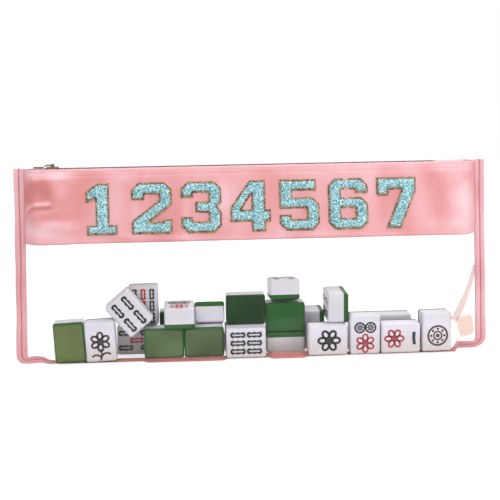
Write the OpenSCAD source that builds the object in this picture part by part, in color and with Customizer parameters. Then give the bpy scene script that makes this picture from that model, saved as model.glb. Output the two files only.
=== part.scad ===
// Clear zip case for a set of table-game tiles: two clear sheets and two cloth
// bands bound with a folded edge tape, a zip along the top with a slider and
// pull, seven numeral patches on the front band, and the tiles that fill it.
// Millimetres, +Z up, +X to the right, the front faces -Y. The origin is at the
// middle of the outline's base, on the surface that the case stands on.

/* [Case] */
// Width over the side bindings
case_w = 472; // [440:1:520]
// Height of the cloth bands' top edge above the surface
case_h = 189.5; // [175:0.5:210]
// Depth of the filled base, front to back
base_depth = 76; // [70:1:90]
// How far the zip lies behind the middle of the base
zip_y = 4; // [0:0.5:8]
// Thickness of the clear sheet
sheet_t = 0.4; // [0.3:0.05:0.5]

/* [Bands and binding] */
// Height of the cloth bands
band_h = 70.5; // [60:0.5:80]
// Thickness of the cloth bands
band_t = 0.8; // [0.5:0.05:1.2]
// Width of the folded edge binding
bind_w = 10.5; // [8:0.5:12]
// Thickness of the folded edge binding
bind_t = 2; // [1.8:0.1:2.6]
// How far the sheets reach into the binding
bind_grip = 4; // [2:0.5:6]

/* [Zip] */
// Width of the zip over both tapes
zip_w = 14.4; // [13:0.2:17]
// Thickness of the zip tape
zip_tape_t = 0.6; // [0.4:0.1:0.8]
// Distance between neighbouring teeth
tooth_pitch = 3; // [2.5:0.1:4]
// Length of a tooth across the zip
tooth_reach = 2.2; // [1.8:0.1:2.6]
// Height of a tooth
tooth_h = 1.5; // [1.2:0.1:2]
// Gap between the two rows of teeth
tooth_gap = 1.6; // [1.4:0.1:2]
// Length of the slider
slider_l = 12; // [10:0.5:14]
// Length of the pull from its pin
pull_l = 19; // [16:0.5:24]
// Width of the pull
pull_w = 5.4; // [4.4:0.2:6.4]
// Length of the cloth tab over the zip's left end
left_tab_l = 9; // [7:0.5:12]
// Length of the cloth tab over the zip's right end
right_tab_l = 30; // [20:1:36]

/* [Patches] */
// Height of the numeral patches
patch_h = 51; // [44:0.5:54]
// Width of the numeral patches
patch_w = 42; // [38:0.5:43]
// Distance between neighbouring patches
patch_pitch = 48.7; // [48:0.1:50]
// Middle of the patch row, from the middle of the case
patch_x = -3; // [-8:0.5:4]
// Height of the patches' lower edge above the band's lower edge
patch_rise = 7.5; // [4:0.5:12]
// Width of the edging round the pile
edging_w = 2.4; // [1.6:0.2:3]
// Thickness of the patch backing
backing_t = 1; // [0.8:0.1:1.4]
// Height of the looped pile above the backing
pile_h = 3; // [2:0.2:4]

/* [Tiles] */
// Length of a tile
tile_l = 39.5; // [38:0.5:41]
// Width of a tile
tile_w = 30; // [29:0.5:31]
// Thickness of a tile
tile_t = 21; // [20:0.5:22]
// Thickness of a tile's coloured back
tile_back_t = 5; // [4:0.5:7]
// Radius of a tile's edges
tile_r = 2.4; // [1.5:0.1:3]

/* [Hidden] */

clear = 0.1;      // between pieces that are sewn or stacked together
running = 0.3;    // between the slider and what it passes

// ---- outline of the case -------------------------------------------------

half_w = case_w / 2;
seam_x = half_w - bind_w;          // inner edge of the side bindings
y_front = 3.9 - base_depth / 2;    // inner face of the front sheet at the tiles' foot
y_back = base_depth / 2 - sheet_t; // inner face of the back sheet at the foot
top_half = zip_w / 2 + 0.4;        // half the depth of the case along its top
band_z = case_h - band_h;          // lower edge of the bands
foot_z = 41;                       // where the sheets turn upright
top_taper = 11;                    // length over which the top closes at each end
base_taper = 26;                   // the same at the base

// Tilt of the bottom binding: flat under the tiles, on edge at both corners
corner_in = seam_x - 1.5;          // x at which the bottom binding turns the corner
lean_l = atan((zip_y - corner_y(-1)) / (case_h - bind_w));
lean_r = atan((zip_y - corner_y(1)) / (case_h - bind_w));
function corner_y(side) = side < 0 ? 1 - base_depth / 2 : 21 - base_depth / 2;
function tilt(x) = lookup(x, [[-corner_in, 90 - lean_l], [-corner_in + 9, 40],
    [-corner_in + 17, 12], [-corner_in + 22, 0], [corner_in - 22, 0],
    [corner_in - 16, 30], [corner_in - 10, 70], [corner_in - 4, 90 - lean_r],
    [corner_in, 90 - lean_r]]);
function rim_y(x) = lookup(x, [[-corner_in, corner_y(-1)], [-corner_in + 12, y_front + 3],
    [-corner_in + 23, y_front + 1],
    [-corner_in + 50, y_front + 0.5], [0, y_front + 0.4], [corner_in - 40, y_front + 0.5],
    [corner_in - 24, y_front + 1], [corner_in - 8, corner_y(1)],
    [corner_in, corner_y(1)]]);

// Outward direction, sheet normal and inner edge of the bottom binding at x
function down(x) = [0, -cos(tilt(x)), -sin(tilt(x))];
function under(x) = [0, sin(tilt(x)), -cos(tilt(x))];
function inner(x) = [x, rim_y(x), bind_t / 2 * cos(tilt(x))] - bind_w * down(x);

// Stations along the binding: [inner point, outward direction, sheet normal]
corner_steps = 8;
side_steps = 10;
bottom_x = concat([for (i = [0:11]) -corner_in + 2 * i],
    [for (i = [0:12]) lerp(-corner_in + 24, corner_in - 26, i / 12)],
    [for (i = [0:12]) corner_in - 24 + 2 * i]);
corner_r = seam_x - corner_in;
function side_dir(side) = [0, -sin(side < 0 ? lean_l : lean_r), -cos(side < 0 ? lean_l : lean_r)];
function hub(side) = inner(side * corner_in) - corner_r * down(side * corner_in);
function side_station(side, k) = let (t = k / side_steps, q = hub(side),
    top = q - side_dir(side) * (case_h + clear - q[2]) / cos(side < 0 ? lean_l : lean_r))
    [lerp(top, q, t) + [side * corner_r, 0, 0], [side, 0, 0], under(side * corner_in)];
function corner_station(side, a) = let (q = hub(side),
    n = [side * cos(a), 0, 0] + sin(a) * down(side * corner_in))
    [q + corner_r * n, n, under(side * corner_in)];
stations = concat([for (k = [0:side_steps]) side_station(-1, k)],
    [for (k = [1:corner_steps - 1]) corner_station(-1, 90 * k / corner_steps)],
    [for (x = bottom_x) [inner(x), down(x), under(x)]],
    [for (k = [corner_steps - 1:-1:1]) corner_station(1, 90 * k / corner_steps)],
    [for (k = [side_steps:-1:0]) side_station(1, k)]);

// ---- helpers ---------------------------------------------------------------

function lerp(a, b, t) = a + (b - a) * t;
function unit(v) = v / norm(v);
function clamp01(t) = min(1, max(0, t));

// Closed skin of even thickness on a grid of points, listed row by row
module skin(grid, thick) {
    rows = len(grid);
    cols = len(grid[0]);
    normals = [for (i = [0:rows - 1]) [for (j = [0:cols - 1])
        let (u = grid[min(i + 1, rows - 1)][j] - grid[max(i - 1, 0)][j],
            v = grid[i][min(j + 1, cols - 1)] - grid[i][max(j - 1, 0)])
        unit(cross(u, v))]];
    outer = [for (i = [0:rows - 1]) for (j = [0:cols - 1])
        grid[i][j] + normals[i][j] * thick / 2];
    inside = [for (i = [0:rows - 1]) for (j = [0:cols - 1])
        grid[i][j] - normals[i][j] * thick / 2];
    n = rows * cols;
    rim = concat([for (j = [0:cols - 1]) j],
        [for (i = [1:rows - 1]) i * cols + cols - 1],
        [for (j = [cols - 2:-1:0]) (rows - 1) * cols + j],
        [for (i = [rows - 2:-1:1]) i * cols]);
    faces = concat(
        [for (i = [0:rows - 2]) for (j = [0:cols - 2]) let (a = i * cols + j)
            each [[a, a + 1, a + cols + 1], [a, a + cols + 1, a + cols]]],
        [for (i = [0:rows - 2]) for (j = [0:cols - 2]) let (a = n + i * cols + j)
            each [[a, a + cols + 1, a + 1], [a, a + cols, a + cols + 1]]],
        [for (k = [0:len(rim) - 1]) let (a = rim[k], b = rim[(k + 1) % len(rim)])
            each [[a, a + n, b + n], [a, b + n, b]]]);
    polyhedron(concat(outer, inside), faces, convexity = 6);
}

// Solid of a flat outline [along n, along b] carried along the stations
module sweep(path, profile, caps) {
    m = len(profile);
    last = (len(path) - 1) * m;
    points = [for (s = path) for (p = profile) s[0] + p[0] * s[1] + p[1] * s[2]];
    faces = concat(
        [for (i = [0:len(path) - 2]) for (k = [0:m - 1])
            let (a = i * m + k, b = i * m + (k + 1) % m)
            each [[a, b + m, b], [a, a + m, b + m]]],
        [for (c = caps) [c[0], c[1], c[2]]],
        [for (c = caps) [last + c[2], last + c[1], last + c[0]]]);
    polyhedron(points, faces, convexity = 6);
}

// ---- sheets and bands --------------------------------------------------------

end_steps = [0, 0.08, 0.2, 0.36, 0.56, 0.78, 1];
mid_steps = 8;
fold_reach = 54;                   // the band's folds lie within this of a side seam
body_x = seam_x - 3 * clear;        // the sheets leave the binding here
columns = concat([for (t = end_steps) -body_x + t * base_taper],
    [for (k = [1:mid_steps - 1]) lerp(-body_x + base_taper, body_x - base_taper, k / mid_steps)],
    [for (k = [len(end_steps) - 1:-1:0]) body_x - end_steps[k] * base_taper]);
sheet_x = concat([-seam_x - bind_grip], columns, [seam_x + bind_grip]);
band_side = [for (k = [1:len(end_steps) - 1]) body_x - end_steps[k] * base_taper];
fold_side = [for (k = [0:3]) body_x - lerp(base_taper + 6, fold_reach, k / 3)];
band_half = concat([body_x - 0.4], band_side, fold_side, [body_x * 0.6, body_x * 0.4, body_x * 0.2]);
band_x = concat([for (x = band_half) -x], [0], [for (k = [len(band_half) - 1:-1:0]) band_half[k]]);

// How far the case is open at x, from 0 at a side seam to 1, at height z
function opened(x, z) = let (reach = lerp(base_taper, top_taper, clamp01(z / case_h)))
    sin(90 * clamp01((body_x - abs(x)) / reach));
function corner(x) = inner(x < 0 ? -corner_in : corner_in);
function side_y(x, z) = let (q = hub(x < 0 ? -1 : 1)) q[1] + (z - q[2]) * tan(x < 0 ? lean_l : lean_r);
function on_bottom(x) = max(-corner_in, min(corner_in, x));

// Front and back of the filled case at height z, before it closes at the ends
function front_y(z) = lerp(y_front - sheet_t / 2, zip_y - top_half,
    max(0, z - foot_z) / (case_h - foot_z));
function back_y(z) = lerp(y_back + sheet_t / 2, zip_y + top_half,
    max(0, z - foot_z) / (case_h - foot_z));

// Line on the binding's upper face that the front sheet is sewn along
function hem(x) = let (xc = on_bottom(x), turned = clamp01(tilt(xc) / 45),
    along = lerp(bind_w - 0.3, -0.6, turned),
    rise = lerp(bind_t / 2 + clear, clear / 2, clamp01((turned - 0.95) / 0.05)) + sheet_t / 2,
    p = inner(xc) + along * down(xc) - rise * under(xc))
    [x, p[1], p[2]];

sheet_top = band_z + 8;
hem_low = bind_t + clear + sheet_t / 2;     // height of the hem under the tiles
front_marks = [sheet_top, band_z, 106, 90, 72, 56, foot_z, 22, 9, 4.6, hem_low];
front_rows = [for (z = front_marks) (sheet_top - z) / (sheet_top - hem_low)];
function front_point(x, t) = let (foot = abs(x) > seam_x ? corner(x) + [0, 0, 2] : hem(x),
    z = lerp(sheet_top, foot[2], t),
    y = lerp(side_y(x, z) - (sheet_t + clear) / 2, front_y(z), opened(x, z)))
    [x, t == 1 && abs(x) < seam_x ? foot[1] : y, z];

// The front sheet: clear, from behind the front band down to the binding
module front_sheet() {
    color([0.93, 0.96, 0.98, 0.35])
    skin([for (t = front_rows) [for (x = sheet_x) front_point(x, t)]], sheet_t);
}

// Profile of the back sheet: down the back, round the heel and along the floor
heel_r = 6;
heel_y = y_back + sheet_t / 2 - heel_r;
floor_mid = sheet_t / 2;
floor_front = y_front + bind_w + 4.5;
back_profile = concat(
    [[back_y(sheet_top), sheet_top]],
    [for (k = [0:4]) let (z = lerp(band_z, foot_z, k / 4)) [back_y(z), z]],
    [for (k = [0:5]) let (a = 90 * k / 5) [heel_y + heel_r * cos(a), floor_mid + heel_r * (1 - sin(a))]],
    [for (k = [1:3]) [lerp(heel_y, floor_front, k / 3), floor_mid]]);
function back_point(x, k) = let (past = max(0, k - 5) / (len(back_profile) - 5),
    z = k < 5 ? back_profile[k][1] : lerp(foot_z, corner(x)[2] + 2, past),
    p = lerp([side_y(x, z) + (sheet_t + clear) / 2, z], back_profile[k],
        opened(x, k < 5 ? z : lerp(foot_z, 0, past))))
    [x, p[0], p[1]];
function tucked(x, depth) = let (xc = on_bottom(x),
    p = inner(xc) + depth * down(xc) + (sheet_t + clear) / 2 * under(xc))
    [x, p[1], p[2]];

// The back sheet: clear, down the back and forward under the tiles
module back_sheet() {
    color([0.93, 0.96, 0.98, 0.35])
    skin([for (x = sheet_x) concat([for (k = [0:len(back_profile) - 1]) back_point(x, k)],
        [tucked(x, 0), tucked(x, bind_grip)])], sheet_t);
}

// Rows of a band from its top edge, turned in over the zip tape, to its lower edge
band_turn = zip_w / 2 - 2.4;
band_rows = [0, 0.04, 0.24, 0.42, 0.6, 0.75, (case_h - sheet_top) / band_h, 1];
band_gap = (band_t + sheet_t) / 2 + clear;  // from a sheet's middle to a band's
// Soft folds of the front band beside the patch row
function fold(x, z) = opened(x, z)
    * (clamp01((-x - body_x + fold_reach) / 12) * 0.9 * (1 + sin(5 * x + 2.2 * z))
    + clamp01((x - body_x + fold_reach) / 20) * 0.4 * (1 + sin(3.4 * x - 1.3 * z)));
// Middle of a clear sheet at x and height z, and of a band's cloth over it;
// side is -1 at the front and 1 at the back
function sheet_y(x, z, side) = lerp(side_y(x, z) + side * (sheet_t + clear) / 2,
    side < 0 ? front_y(z) : back_y(z), opened(x, z));
function band_point(x, t, side) = let (z = lerp(case_h, band_z, t),
    slope = (sheet_y(x + 0.5, z, side) - sheet_y(x - 0.5, z, side)),
    y = sheet_y(x, z, side) + side * band_gap * norm([1, slope]))
    [x, y - (side < 0 ? fold(x, z) * clamp01(t * 5) : 0), z];
function band_edge(x, side) = let (p = band_point(x, 0, side))
    [x, zip_y + side * min(band_turn, max(0.9, abs(p[1] - zip_y) - 1.4)), zip_top + clear + band_t / 2];
function band_bend(x, side) = let (p = band_point(x, 0, side))
    [x, p[1] - side * 0.3, zip_top + clear + band_t / 2];
module band(side) {
    grid = concat([[for (x = band_x) band_edge(x, side)]],
        [[for (x = band_x) band_bend(x, side)]],
        [for (k = [1:len(band_rows) - 1]) [for (x = band_x) band_point(x, band_rows[k], side)]]);
    skin(side < 0 ? grid : [for (row = grid) [for (j = [len(row) - 1:-1:0]) row[j]]], band_t);
}
module front_band() color([0.96, 0.63, 0.63]) band(-1);
module back_band() color([0.96, 0.63, 0.63]) band(1);

// ---- binding ------------------------------------------------------------------

// The binding: one folded tape down the left side, along the base and up the right
module edge_binding() {
    slot = (2 * sheet_t + 3 * clear) / 2;
    legs = bind_t / 2;
    web = bind_w - 1;
    color([0.95, 0.6, 0.6])
    sweep(stations,
        [[0, -legs], [bind_w, -legs], [bind_w, legs], [0, legs],
            [0, slot], [web, slot], [web, -slot], [0, -slot]],
        [[0, 1, 6], [0, 6, 7], [1, 2, 5], [1, 5, 6], [2, 3, 4], [2, 4, 5]]);
}

// ---- zip ------------------------------------------------------------------------

zip_top = case_h + zip_tape_t;           // upper face of the zip tapes
zip_end = seam_x - top_taper - 1;        // the tapes end here at both sides
tooth_in = tooth_gap / 2;
tooth_out = tooth_in + tooth_reach;
tab_out = zip_end + 1;
left_tab_x = -tab_out + left_tab_l;
right_tab_x = tab_out - right_tab_l;
stop_l = 1.8;
slider_x = left_tab_x + clear + stop_l + running;  // left end of the slider at rest
teeth_x0 = left_tab_x + clear + stop_l + 0.6;
end_stop_x = right_tab_x - 2.6;
teeth_x1 = end_stop_x - 0.4;

module zip_tape(side) {
    y0 = side < 0 ? -zip_w / 2 : tooth_in;
    color([0.55, 0.45, 0.47])
    translate([-zip_end, zip_y + y0, case_h])
    cube([2 * zip_end, zip_w / 2 - tooth_in, zip_tape_t]);
}
module zip_tape_front() zip_tape(-1);
module zip_tape_back() zip_tape(1);

// One row of teeth, each a block that grips the tape's inner edge
module teeth(side) {
    count = floor((teeth_x1 - teeth_x0) / tooth_pitch);
    shift = side < 0 ? 0 : tooth_pitch / 2;
    color([0.42, 0.38, 0.38])
    for (k = [0:count - 1])
        translate([teeth_x0 + shift + k * tooth_pitch,
            zip_y + (side < 0 ? -tooth_out : tooth_in), zip_top])
        cube([tooth_pitch * 0.45, tooth_reach, tooth_h]);
}
module zip_teeth_front() teeth(-1);
module zip_teeth_back() teeth(1);

// Two metal stops at the closed end, one on each tape
module top_stops() {
    color([0.6, 0.5, 0.35])
    for (side = [-1, 1])
        translate([left_tab_x + clear, zip_y + (side < 0 ? -tooth_out : tooth_in), zip_top])
        cube([stop_l, tooth_reach, tooth_h]);
}

// One metal stop across both tapes at the open end
module end_stop() {
    color([0.6, 0.5, 0.35])
    translate([end_stop_x, zip_y - tooth_out, zip_top])
    cube([2.4, 2 * tooth_out, tooth_h]);
}

// Cloth tab folded over one end of the zip; its outer end is closed
module end_tab(x0, x1, closed_x) {
    wide = band_turn - clear - 0.1;
    over = zip_top + clear;
    below = case_h - clear - band_t;
    color([0.96, 0.63, 0.63])
    translate([0, zip_y, 0]) {
        translate([x0, -wide, over]) cube([x1 - x0, 2 * wide, band_t]);
        translate([x0, -wide, below]) cube([x1 - x0, 2 * wide, band_t]);
        translate([closed_x, -wide, below]) cube([1 - clear, 2 * wide, over - below + band_t]);
    }
}
module left_end_tab() end_tab(-tab_out, left_tab_x, -tab_out);
module right_end_tab() end_tab(right_tab_x, tab_out, zip_end + clear);

// ---- slider and pull -------------------------------------------------------------

wing_t = 0.9;
lip_t = 0.8;
wing_half = tooth_out + running + lip_t;
wing_z = zip_top + tooth_h + running;    // lower face of the upper wing
wing_top = wing_z + wing_t;
pin_r = 0.7;
eye_r = 1.5;
eye_w = 3;
pin_x = slider_x + slider_l / 2;
pin_z = wing_top + eye_r + 0.2;
ear_t = 0.9;

// Outline of a wing, drawn in at the ends as a slider's is
module wing(half) {
    nose = half * 0.62;
    polygon([[0, -nose], [2, -half], [slider_l - 2, -half], [slider_l, -nose],
        [slider_l, nose], [slider_l - 2, half], [2, half], [0, nose]]);
}

// The slider: two wings on a wedge, lips over the teeth, and ears for the pull
module slider() {
    color([0.72, 0.56, 0.33])
    translate([slider_x, zip_y, 0]) {
        translate([0, 0, wing_z]) linear_extrude(wing_t) wing(wing_half);
        translate([0, 0, case_h - running - wing_t]) linear_extrude(wing_t) wing(wing_half);
        // wedge between the two rows of teeth
        translate([0, 0, case_h - running - wing_t / 2])
        linear_extrude(wing_z - case_h + running + wing_t)
        polygon([[0.4, 0], [2, -0.5], [4.4, 0], [2, 0.5]]);
        for (side = [-1, 1])
            translate([2, side * (wing_half - lip_t / 2) - lip_t / 2, zip_top + running])
            cube([slider_l - 4, lip_t, wing_z - zip_top - running + wing_t / 2]);
        for (side = [-1, 1])
            translate([slider_l / 2, side * (eye_w / 2 + running + ear_t / 2), 0])
            rotate([90, 0, 0])
            linear_extrude(ear_t, center = true)
            union() {
                translate([0, pin_z]) circle(r = eye_r, $fn = 32);
                translate([-eye_r, wing_top - wing_t / 2]) square([2 * eye_r, pin_z - wing_top + wing_t / 2]);
            }
        translate([slider_l / 2, 0, pin_z])
        rotate([90, 0, 0])
        cylinder(r = pin_r, h = eye_w + 2 * running + 2 * ear_t, center = true, $fn = 32);
    }
}

// The pull: an eye on the slider's pin and a cranked blade that lies to the left
module pull() {
    bore_r = pin_r + 0.08;
    blade = 1.1;
    lies_on = zip_top + max(tooth_h, clear + band_t);
    drop = pin_z - lies_on - running - blade;  // blade's top below the pin
    neck = slider_l / 2 + 0.8;
    color([0.74, 0.58, 0.35])
    translate([pin_x, zip_y, pin_z])
    difference() {
        union() {
            rotate([90, 0, 0]) cylinder(r = eye_r, h = eye_w, center = true, $fn = 32);
            intersection() {
                rotate([90, 0, 0])
                linear_extrude(pull_w, center = true)
                polygon([[0, 0.5], [-neck, 0.5], [-neck - 2.6, -drop], [-pull_l, -drop],
                    [-pull_l, -drop - blade], [-neck - 2.8, -drop - blade], [-neck, -0.6], [0, -0.6]]);
                translate([0, 0, -drop - 2 * blade])
                linear_extrude(drop + 4 * blade)
                difference() {
                    union() {
                        translate([-neck, -eye_w / 2]) square([neck, eye_w]);
                        polygon([[-2.8, -eye_w / 2], [-neck + 2, -pull_w / 2],
                            [-pull_l + pull_w / 2, -pull_w / 2], [-pull_l + pull_w / 2, pull_w / 2],
                            [-neck + 2, pull_w / 2], [-2.8, eye_w / 2]]);
                        translate([-pull_l + pull_w / 2, 0]) circle(d = pull_w, $fn = 32);
                    }
                    translate([-pull_l + pull_w / 2, 0]) circle(d = pull_w * 0.4, $fn = 24);
                }
            }
        }
        rotate([90, 0, 0]) cylinder(r = bore_r, h = eye_w * 2, center = true, $fn = 32);
    }
}

// ---- numeral patches ----------------------------------------------------------------

// Block numerals drawn in a cell of cell_w by cell_h
cell_w = 42;
cell_h = 51;
NUMERALS = [
    [[6, 0], [36, 0], [36, 10], [28, 10], [28, 51], [16, 51], [5, 42], [5, 32],
        [14.5, 36], [14.5, 10], [6, 10]],
    [[1, 0], [41, 0], [41, 14], [32, 14], [32, 12], [19, 12], [41, 29], [41, 44], [34, 51],
        [8, 51], [1, 44], [1, 34], [14, 34], [14, 39], [28, 39], [28, 33], [1, 13]],
    [[1, 7], [8, 0], [34, 0], [41, 7], [41, 21], [37, 25.5], [41, 30], [41, 44], [34, 51],
        [8, 51], [1, 44], [1, 35], [13, 35], [13, 39.5], [28, 39.5], [28, 31], [15, 31],
        [15, 20], [28, 20], [28, 11.5], [13, 11.5], [13, 16], [1, 16]],
    [[1, 10], [22, 10], [22, 0], [36, 0], [36, 10], [41, 10], [41, 22], [36, 22], [36, 51],
        [20, 51], [1, 24]],
    [[1, 7], [8, 0], [34, 0], [41, 7], [41, 26], [34, 33], [14, 33], [14, 39.5], [38, 39.5],
        [38, 51], [1, 51], [1, 22], [28, 22], [28, 11.5], [13, 11.5], [13, 16], [1, 16]],
    [[8, 0], [34, 0], [41, 7], [41, 25], [34, 32], [14, 32], [14, 39.5], [28, 39.5],
        [28, 36], [41, 36], [41, 44], [34, 51], [8, 51], [1, 44], [1, 7]],
    [[10, 0], [25, 0], [41, 38], [41, 51], [1, 51], [1, 33], [13, 33], [13, 38.5], [26, 38.5]],
];
COUNTERS = [[], [], [], [[12, 22], [22, 22], [22, 37]], [],
    [[14, 11.5], [28, 11.5], [28, 21], [14, 21]], []];
function fitted(points) = [for (p = points)
    [(p[0] / cell_w - 0.5) * patch_w, p[1] / cell_h * patch_h]];
module numeral(k) {
    difference() {
        polygon(fitted(NUMERALS[k - 1]));
        if (len(COUNTERS[k - 1]) > 0) polygon(fitted(COUNTERS[k - 1]));
    }
}

// Puts a flat shape on the front band, at the place of patch k
band_lean = atan((zip_y - top_half - y_front + sheet_t / 2) / (case_h - foot_z));
module on_band(k) {
    z0 = band_z + patch_rise;
    stand = band_gap / cos(band_lean) + band_t / 2 + clear;
    translate([patch_x + (k - 4) * patch_pitch, front_y(z0) - stand, z0])
    rotate([90 - band_lean, 0, 0])
    children();
}
module patch_backing(k) color([0.8, 0.66, 0.45]) on_band(k) linear_extrude(backing_t) numeral(k);
module patch_pile(k)
    color([0.45, 0.8, 0.82]) on_band(k) translate([0, 0, backing_t])
    linear_extrude(pile_h) offset(delta = -edging_w) numeral(k);

// ---- tiles -----------------------------------------------------------------------

// Each tile is centred on its middle, stands on its short side and faces -Y
module rounded(w, h) {
    translate([-w / 2 + tile_r, -h / 2]) square([w - 2 * tile_r, h]);
    translate([-w / 2, -h / 2 + tile_r]) square([w, h - 2 * tile_r]);
    for (x = [-1, 1], y = [-1, 1])
        translate([x * (w / 2 - tile_r), y * (h / 2 - tile_r)]) circle(r = tile_r, $fn = 32);
}
module tile_body() {
    intersection() {
        rotate([90, 0, 0]) linear_extrude(tile_t, center = true) rounded(tile_w, tile_l);
        linear_extrude(tile_l, center = true) rounded(tile_w, tile_t);
        rotate([90, 0, 90]) linear_extrude(tile_w, center = true) rounded(tile_t, tile_l);
    }
}
// The face block, or the coloured back slab, cut from the tile's body
module tile_piece(is_face) {
    seam = tile_t / 2 - tile_back_t;
    intersection() {
        tile_body();
        translate([-tile_w, is_face ? -tile_t : seam, -tile_l])
        cube([2 * tile_w, is_face ? tile_t + seam : tile_t, 2 * tile_l]);
    }
}

// Ways a tile lies: [turn, size along X, Y and Z]
PORTRAIT = [[0, 0, 0], [tile_w, tile_t, tile_l]];
LANDSCAPE = [[0, 90, 0], [tile_l, tile_t, tile_w]];
PORTRAIT_BACK = [[0, 0, 180], [tile_w, tile_t, tile_l]];
LANDSCAPE_BACK = [[0, 90, 180], [tile_l, tile_t, tile_w]];
FACE_UP = [[-90, 0, 0], [tile_w, tile_l, tile_t]];
FACE_DOWN = [[90, 0, 0], [tile_w, tile_l, tile_t]];
FACE_DOWN_LONG = [[90, 0, 90], [tile_l, tile_w, tile_t]];
SIDEWAYS = [[0, 0, -90], [tile_t, tile_w, tile_l]];
SIDEWAYS_FLAT = [[90, 90, 0], [tile_t, tile_l, tile_w]];

// A tile by its lowest left front corner at rest, and an extra lean about its middle
function tile(row, way, at, lean = [0, 0, 0]) = [row, way[0], at + way[1] / 2, lean];

gap = 0.4;                                  // between neighbouring tiles
floor_z = sheet_t + clear;                  // tiles on the floor
hem_z = bind_t + clear + 0.1;               // tiles on the binding, at the front
row_pitch = tile_t + gap;
row_1 = y_front + 0.4;
row_1_back = row_1 + 7;                     // the pair that stands further back
row_2 = row_1 + row_pitch;
row_2_back = row_1_back + row_pitch;
row_3 = y_back - tile_t - 3.2;
lean = 2.5;                                 // the two leftmost tiles lean together
lean_w = tile_w * cos(lean) + tile_l * sin(lean);
lean_rise = (tile_w * sin(lean) + tile_l * cos(lean) - tile_l) / 2;
wedge_turn = 40;                            // the tile caught between its neighbours
slope_d = 17;                               // face-down tile on the pair's rear edge
slope_u = 8;                                // face-up tile at the top

x_a = -200.6;                               // leftmost tile
x_b = x_a + (tile_w + gap) / cos(lean);
x_c = x_b + lean_w + 26.8;                  // pair of backs
x_d = x_c + tile_l + gap;
x_e = x_d + tile_l + 2;                     // landscape face in the middle
x_e2 = x_e + tile_l + 2;                    // stack beside it
x_e3 = x_e2 + tile_l + gap;
x_f = x_e + tile_l + 42.4;                  // right group
x_g = x_f + tile_l + 2.6;
x_h = x_g + tile_w + 1.2;
x_i = x_h + tile_l + 2;
on_front = hem_z + tile_w + gap;            // on a landscape tile in the front row
on_middle = floor_z + tile_w + gap;         // on one that stands on the floor
on_flat = floor_z + tile_t + gap;           // on one that lies flat
TILES = [
    // front row, from the left
    tile("front", PORTRAIT_BACK, [x_a + (lean_w - tile_w) / 2, row_1, hem_z + lean_rise], [0, -lean, 0]),
    tile("front", PORTRAIT, [x_b + (lean_w - tile_w) / 2, row_1, hem_z + lean_rise], [0, -lean, 0]),
    tile("front", LANDSCAPE_BACK, [x_c, row_1_back, hem_z]),
    tile("front", LANDSCAPE_BACK, [x_d, row_1_back, hem_z]),
    tile("front", LANDSCAPE, [x_e, row_1, hem_z]),
    tile("front", LANDSCAPE, [x_f, row_1, hem_z]),
    tile("front", PORTRAIT, [x_g, row_1, hem_z]),
    tile("front", LANDSCAPE, [x_h, row_1, hem_z]),
    tile("front", PORTRAIT, [x_i, row_1 + 2, hem_z], [0, 0, 3]),
    // middle row
    tile("middle", LANDSCAPE, [x_c - 28, row_2_back + 3, floor_z]),
    tile("middle", FACE_DOWN, [x_e - gap - tile_w, row_2_back, floor_z]),
    tile("middle", LANDSCAPE, [x_e, row_2, floor_z]),
    tile("middle", FACE_DOWN_LONG, [x_e2, row_2, floor_z]),
    tile("middle", SIDEWAYS, [x_e3, row_2 + 12, floor_z]),
    // rear row
    tile("rear", PORTRAIT_BACK, [x_c + tile_w / 2, row_3, floor_z]),
    tile("rear", LANDSCAPE, [x_h + 1, row_3, floor_z]),
    // tiles that lie or stand on others
    tile("upper", PORTRAIT, [x_c - 15.5, row_2_back + 3, on_middle]),
    tile("upper", PORTRAIT, [(x_b + lean_w + x_c - tile_w) / 2 - 0.6, row_1 + 6.3, hem_z + tile_w - 3.2], [0, -wedge_turn, 0]),
    tile("upper", FACE_UP, [x_e - 2 * (gap + tile_w), row_1 + 3, on_front]),
    tile("upper", FACE_DOWN, [x_e - gap - tile_w, row_2 + 2, on_front - 4.2], [-slope_d, 0, 0]),
    tile("upper", LANDSCAPE_BACK, [x_e + 1.4, row_2, on_middle]),
    tile("upper", LANDSCAPE_BACK, [x_e2, row_2, on_flat]),
    tile("upper", FACE_UP, [x_e2 + 4.5, row_2 + 2, on_flat + tile_w + gap + 0.2], [-slope_u, 0, 0]),
    tile("upper", SIDEWAYS_FLAT, [x_g - gap - tile_t, row_1 + 9, on_front]),
];
function row_tiles(row) = [for (t = TILES) if (t[0] == row) t];
module tile_row(row, is_face) {
    color(is_face ? [0.95, 0.94, 0.95] : [0.25, 0.45, 0.28])
    for (t = row_tiles(row))
        translate(t[2]) rotate(t[3]) rotate(t[1]) tile_piece(is_face);
}

front_sheet();
back_sheet();
front_band();
back_band();
edge_binding();
zip_tape_front();
zip_tape_back();
zip_teeth_front();
zip_teeth_back();
top_stops();
end_stop();
left_end_tab();
right_end_tab();
slider();
pull();
for (k = [1:7]) {
    patch_backing(k);
    patch_pile(k);
}
tile_row("front", true);  // front_row_tile_faces
tile_row("front", false);  // front_row_tile_backs
tile_row("middle", true);  // middle_row_tile_faces
tile_row("middle", false);  // middle_row_tile_backs
tile_row("rear", true);  // rear_row_tile_faces
tile_row("rear", false);  // rear_row_tile_backs
tile_row("upper", true);  // upper_tile_faces
tile_row("upper", false);  // upper_tile_backs
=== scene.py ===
import math

import bmesh
import bpy
import numpy as np
from mathutils import Euler, Matrix, Vector, noise


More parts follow.
